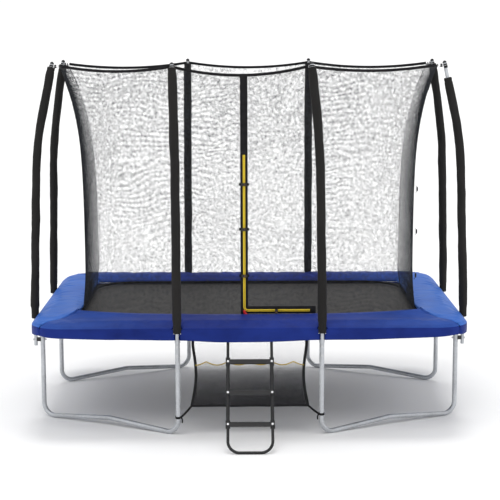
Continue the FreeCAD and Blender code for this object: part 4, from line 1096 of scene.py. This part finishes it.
def make_buckles():
    """Side-release buckles that bridge the zip, each sewn down by two webbing tails."""
    web, shell, latch = Shape(), Shape(), Shape()
    rise = 0.0135
    tails = ((-0.0355, 0), (-0.024, 0), (-0.020, rise * 0.8), (-0.012, rise),
             (0.012, rise), (0.020, rise * 0.8), (0.024, 0), (0.0355, 0))
    for centre, size in loose_centres("door_buckles"):
        upright = size.z > size.x
        along, across, out = axes = (UP, X, -Y) if upright else (X, UP, -Y)
        foot = front_face(centre.x, centre.z + (0 if upright else ZIP_LIFT), 0.0085)
        web.ribbon(smoothed([foot + along * run + out * lift for run, lift in tails]), 0.0195, 0.0019, across)
        heart = foot + out * (rise + 0.0026)
        shell.block(heart - along * 0.0095, (0.020, 0.0215, 0.0052), axes, 0.0022)
        shell.block(heart + along * 0.0135, (0.010, 0.0215, 0.0046), axes, 0.002)
        latch.block(heart + along * 0.004, (0.0085, 0.0125, 0.0030), axes, 0.0012)
        for sign in (-1, 1):
            prong = heart + across * (0.0092 * sign) + along * 0.004
            shell.block(prong, (0.019, 0.0032, 0.0036), axes, 0.0012)
            web.block(foot + along * (sign * 0.031) + out * 0.0016, (0.008, 0.0185, 0.0014), axes, 0.0006)
    shell.make("buckle_shells", PLASTIC, replaces="door_buckles")
    web.make("buckle_tails", WEBBING)
    latch.make("buckle_tongues", BROWN)


def make_side_buckles():
    """Small toggles on the right wall, each held by a short strap."""
    shell, web = Shape(), Shape()
    strap = ((-0.013, 0.030), (-0.004, 0.019), (-0.002, 0), (-0.004, -0.019), (-0.013, -0.030))
    for centre, _ in loose_centres("net_side_buckles"):
        shell.block(centre, (0.0145, 0.032, 0.0115), (Y, UP, X), 0.0035)
        shell.block(centre, (0.0185, 0.017, 0.0075), (Y, UP, X), 0.0025)
        web.ribbon(smoothed([centre + vec(x, 0, z) for x, z in strap]), 0.012, 0.0018, Y)
    shell.make("side_toggles", PLASTIC, replaces="net_side_buckles")
    web.make("side_toggle_straps", WEBBING)


# --- Mat and springs -------------------------------------------------------------
MAT_SAG = 0.004
MAT_BORDER = 0.050
MAT_FACE = MAT_HIGH.z - 0.0008
MAT_THICKNESS = 0.0022
SPRING_TURNS, SPRING_STEPS = 21, 9
SPRING_COIL, SPRING_WIRE = 0.0092, 0.0016


def rounded_rectangle(half_x, half_y, radius):
    """Points round a rectangle with rounded corners, anticlockwise."""
    arcs = []
    for turn, (sign_x, sign_y) in enumerate(((1, -1), (1, 1), (-1, 1), (-1, -1))):
        centre = vec(sign_x * (half_x - radius), sign_y * (half_y - radius))
        angles = [radians(90 * (turn - 1) + 90 * step / 8) for step in range(9)]
        arcs.append([centre + vec(cos(angle), sin(angle)) * radius for angle in angles])
    points = []
    for arc, after in zip(arcs, arcs[1:] + arcs[:1]):
        points += arc + [arc[-1].lerp(after[0], step / 26) for step in range(1, 26)]
    return points


def mat_dish(spot):
    """How far the mat hangs below its edge."""
    return MAT_SAG * (1 - max(abs(spot.x) / MAT_HIGH.x, abs(spot.y) / MAT_HIGH.y) ** 2)


def make_mat():
    """The woven bed as one thin sheet, dished very slightly, with its folded edge."""
    outline = rounded_rectangle(MAT_HIGH.x, MAT_HIGH.y, MAT_CORNER)
    shares = spread(0, 1, 22)[1:]
    rows = []
    for thick, ordered in ((MAT_THICKNESS, shares), (0, shares[::-1])):
        for share in ordered:
            row = []
            for spot in [point * share for point in outline]:
                ripple = lumps(spot.x * 3, spot.y * 3, 0, 0.0012) * (1 - share)
                row.append((vec(spot.x, spot.y, MAT_FACE - mat_dish(spot) + ripple - thick), (spot.x, spot.y)))
            rows.append(row)
    shape = Shape()
    shape.grid(rows, capped=True)
    piece = shape.make("mat_bed", MAT, body="mat", replaces="jump_mat")
    make_mat_border()
    make_mat_tabs()


def make_mat_border():
    """Webbing sewn round the mat's edge, with three stitched rows raised on it."""
    profile = ((0.0, -0.003), (0.0, 0.0), (0.002, 0.0009), (0.010, 0.0011), (0.011, 0.0005), (0.012, 0.0011),
               (0.025, 0.0012), (0.026, 0.0006), (0.027, 0.0012), (0.042, 0.0011), (0.043, 0.0005),
               (0.044, 0.0011), (MAT_BORDER - 0.001, 0.0008), (MAT_BORDER, -0.001))
    rows = []
    for inset, height in profile:
        ring = rounded_rectangle(MAT_HIGH.x - inset, MAT_HIGH.y - inset, MAT_CORNER - inset)
        walked, row = 0.0, []
        for index, point in enumerate(ring):
            if index:
                walked += (point - ring[index - 1]).length
            row.append((vec(point.x, point.y, MAT_FACE + height - mat_dish(point)), (walked, inset)))
        rows.append(row)
    shape = Shape()
    shape.grid(rows, closed=True)
    return shape.make("mat_border", WEBBING, body="mat")


def spring_stations(side):
    """The edge point of the mat at every spring of one side."""
    out, count = SIDES[side], SPRING_COUNTS[side]
    reach, half = (MAT_HIGH.y, MAT_HIGH.x) if out.y else (MAT_HIGH.x, MAT_HIGH.y)
    straight = half - MAT_CORNER
    return [UP.cross(out) * (straight * share) + out * reach for share in spread(-1, 1, count - 1)]


def make_mat_tabs():
    """The webbing loop that holds each spring ring to the mat."""
    loop = ((-0.045, 0.0022), (-0.006, 0.0026), (0.003, 0.0018), (0.0062, -0.0012),
            (0.003, -0.0045), (-0.006, -0.0052), (-0.045, -0.005))
    shape = Shape()
    for side, out in SIDES.items():
        for point in spring_stations(side):
            base = vec(point.x, point.y, MAT_FACE)
            path = smoothed([base + out * run + UP * rise for run, rise in loop], 1)
            shape.ribbon(path, 0.024, 0.0014, UP.cross(out))
    return shape.make("mat_ring_tabs", WEBBING, body="mat")


def make_springs():
    """Close-wound springs with a hook at each end, one set for each side."""
    hook = ((-0.010, -0.0060), (-0.0165, -0.0030), (-0.0175, 0.0035), (-0.0120, 0.0085), (-0.004, 0.0092))
    tail = ((0.004, 0.0085), (0.010, 0.0040), (0.0145, 0.0))
    steps = SPRING_TURNS * SPRING_STEPS
    for side, out in SIDES.items():
        along = UP.cross(out)
        edge, mat_edge = (RAIL_X, MAT_HIGH.x) if out.x else (RAIL_Y, MAT_HIGH.y)
        shape = Shape()
        for point in spring_stations(side):
            start = vec(point.x, point.y, MAT_HIGH.z - 0.002) + out * 0.040
            end = vec(point.x, point.y, RAIL_Z) + out * (edge - mat_edge - RAIL_RADIUS - 0.010)
            axis, length = (end - start).normalized(), (end - start).length
            over = axis.cross(along).normalized()
            path = [start + axis * run + over * lift for run, lift in hook]
            for step in range(steps + 1):
                angle = 2 * pi * step / SPRING_STEPS
                wound = over * (SPRING_COIL * cos(angle)) + along * (SPRING_COIL * sin(angle))
                path.append(start + axis * (length * step / steps) + wound)
            path += [end + axis * run + over * lift for run, lift in tail]
            shape.tube(path, SPRING_WIRE, 5)
        piece = shape.make("springs_" + side, SPRING, body=None, replaces="springs" if side == "front" else None)
        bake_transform(piece)


# --- Net panel under the frame ---------------------------------------------------
UNDER_SPLIT = 0.51


def make_under_net():
    """The panel behind the ladder: side webbings drawn in, an elastic and a hem."""
    low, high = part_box("under_net")
    face, tall = (low.y + high.y) / 2, high.z - low.z

    def surface(across, height):
        share = (height - low.z) / tall
        drawn = 0.022 * sin(pi * min(1.0, share * 1.15)) ** 1.2
        x = (high.x - 0.012 - drawn + 0.012 * (1 - share) ** 3) * across
        fold = sin(x * 26.0 + height * 3.0) * 0.0025 * (1 - share)
        return vec(x, face + lumps(x * 5.0, height * 4.0, 3.0, 0.006) + fold, height)

    def elastic_height(across):
        return UNDER_SPLIT + 0.012 - 0.024 * abs(sin(across * pi * 2.5))

    # the lower net's darkening towards its bottom is painted shade
    for name, material, bottom, top, node in (
        ("under_net_upper", UNDER, None, high.z - 0.004, "under_net"),
        ("under_net_lower_shaded", SHADED_LOWER_MESH, low.z + 0.004, None, None),
    ):
        rows = []
        for share in spread(0, 1, 40):
            row = []
            for across in spread(-1, 1, 60):
                start, end = bottom or elastic_height(across), top or elastic_height(across)
                point = surface(across, start + (end - start) * share)
                row.append((point, (point.x, point.z)))
            rows.append(row)
        shape = Shape()
        shape.grid(rows)
        shape.make(name, material, replaces=node)

    edging, line, ties = Shape(), Shape(), Shape()
    for sign in (-1, 1):
        path = [surface(sign, low.z + 0.004 + (tall - 0.008) * share) for share in spread(0, 1, 40)]
        edging.ribbon(path, 0.020, 0.0022, X)
    for height, width in ((low.z + 0.008, 0.016), (high.z - 0.010, 0.018)):
        edging.ribbon([surface(across, height) for across in spread(-1, 1, 60)], width, 0.0022, UP)
    border = edging.make("under_net_webbing", WEBBING)
    path = [surface(across, elastic_height(across)) - Y * 0.002 for across in spread(-1, 1, 90)]
    line.ribbon(path, 0.0075, 0.0024, UP)
    elastic = line.make("under_net_elastic", ELASTIC)
    width = 2 * (high.x - 0.012)

    for sign, height in ((-1, 0.128), (1, 0.150)):
        post = vec(sign * UPRIGHT_X, -RAIL_Y, height)
        loop = [post + vec(cos(angle), sin(angle)) * 0.0188 + UP * (0.003 * sin(angle))
                for angle in spread(0, 2 * pi, 24)]
        ties.ribbon(loop, 0.016, 0.0028, UP)
        knot = post + vec(-sign * 0.020, -0.006)
        ties.block(knot, (0.013, 0.010, 0.017), (X, Y, UP), 0.003)
        corner = surface(sign, low.z + 0.010)
        ties.ribbon(smoothed([knot, knot.lerp(corner, 0.5) - UP * 0.004, corner]), 0.015, 0.0024, UP)
        tail = [knot, knot + vec(-sign * 0.010, -0.006, -0.016), knot + vec(-sign * 0.008, -0.004, -0.040)]
        ties.ribbon(smoothed(tail), 0.010, 0.0022, X)
    ties.make("under_net_leg_ties", WEBBING, replaces="under_net_ties")


# --- Hardware that the frame already shapes --------------------------------------
def finish_frame():
    """Better finishes on the steel, hardware and ladder pieces."""
    for name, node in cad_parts.items():
        if name in ("pole_caps", "pole_clamps"):
            material = PLASTIC
        elif name in ("clamp_bolts", "ladder_bolts", "mat_rings"):
            material = ZINC
        elif name.startswith("ladder_"):
            material = COATED
        elif name.startswith(("rail_", "corner_rail_", "leg_", "pole_")):
            material = STEEL
        else:
            continue
        for slot in node.material_slots:
            slot.material = material


# --- Studio ----------------------------------------------------------------------
CAMERA_PLACE = vec(-0.051, -10.714, 2.729)
CAMERA_PITCH, CAMERA_YAW, CAMERA_ROLL = 0.1465, 0.0057, -0.0032
CAMERA_LENS = 102.8
HORIZON_LIGHT, DOME_LIGHT = 1.05, 0.76
LAMPS = (  # name, elevation, side it shines from (0 is the front), spread, strength
    ("key", 58, -28, 40, 0.7),
    ("top", 80, 172, 18, 0.85),
    ("fill", 40, 70, 60, 0.25),
)


def make_floor():
    half = [1, 2, 3, 5, 7, 10, 14, 25, 50, 100, 200, 400]
    steps = [-reach for reach in reversed(half)] + [0] + half
    shape = Shape()
    shape.grid([[(vec(x, y), (x, y)) for x in steps] for y in steps])
    shape.make("studio_floor", FLOOR, body=None)


def make_surround():
    """An even white dome that is brightest round the horizon."""
    world = bpy.data.worlds.new("studio")
    world.use_nodes = True
    nodes, links = world.node_tree.nodes, world.node_tree.links
    coords, split, level, fall = [
        nodes.new("ShaderNode" + kind) for kind in ("TexCoord", "SeparateXYZ", "Math", "MapRange")]
    level.operation = "ABSOLUTE"
    for key, value in (("From Min", 0.10), ("From Max", 0.40), ("To Min", HORIZON_LIGHT), ("To Max", DOME_LIGHT)):
        fall.inputs[key].default_value = value
    links.new(coords.outputs["Generated"], split.inputs[0])
    links.new(split.outputs["Z"], level.inputs[0])
    links.new(level.outputs[0], fall.inputs["Value"])
    links.new(fall.outputs[0], nodes["Background"].inputs["Strength"])
    nodes["Background"].inputs["Color"].default_value = (1.0, 1.0, 1.0, 1)
    bpy.context.scene.world = world


def make_studio():
    """Floor, a bright even surround, soft lamps and the camera."""
    scene = bpy.context.scene
    make_floor()
    make_surround()
    scene.view_settings.view_transform = "Standard"
    for name, elevation, heading, width, strength in LAMPS:
        data = bpy.data.lights.new(name, "SUN")
        data.angle, data.energy = radians(width), strength
        lamp = bpy.data.objects.new(name, data)
        rise, turn = radians(elevation), radians(heading)
        source = vec(sin(turn) * cos(rise), -cos(turn) * cos(rise), sin(rise))
        lamp.rotation_euler = source.to_track_quat("Z", "Y").to_euler()
        scene.collection.objects.link(lamp)
    data = bpy.data.cameras.new("camera")
    data.lens, data.sensor_width, data.clip_end = CAMERA_LENS, 36, 1000
    camera = bpy.data.objects.new("camera", data)
    scene.collection.objects.link(camera)
    forward = vec(sin(CAMERA_YAW) * cos(CAMERA_PITCH), cos(CAMERA_YAW) * cos(CAMERA_PITCH), -sin(CAMERA_PITCH))
    right = vec(cos(CAMERA_YAW), -sin(CAMERA_YAW))
    upward = right.cross(forward)
    turned = right * cos(CAMERA_ROLL) + upward * sin(CAMERA_ROLL)
    lifted = upward * cos(CAMERA_ROLL) - right * sin(CAMERA_ROLL)
    rotation = Matrix((turned, lifted, -forward)).transposed()
    camera.matrix_world = Matrix.Translation(CAMERA_PLACE) @ rotation.to_4x4()
    scene.camera = camera


make_studio()
finish_frame()
for number, pole in enumerate(POLES):
    make_sleeve(pole, number + 1)
for pad_side in SIDES:
    make_pad(pad_side)
    make_skirt(pad_side)
make_mitres()
make_net()
make_straps()
make_door()
make_slider()
make_buckles()
make_side_buckles()
make_mat()
make_springs()
make_under_net()
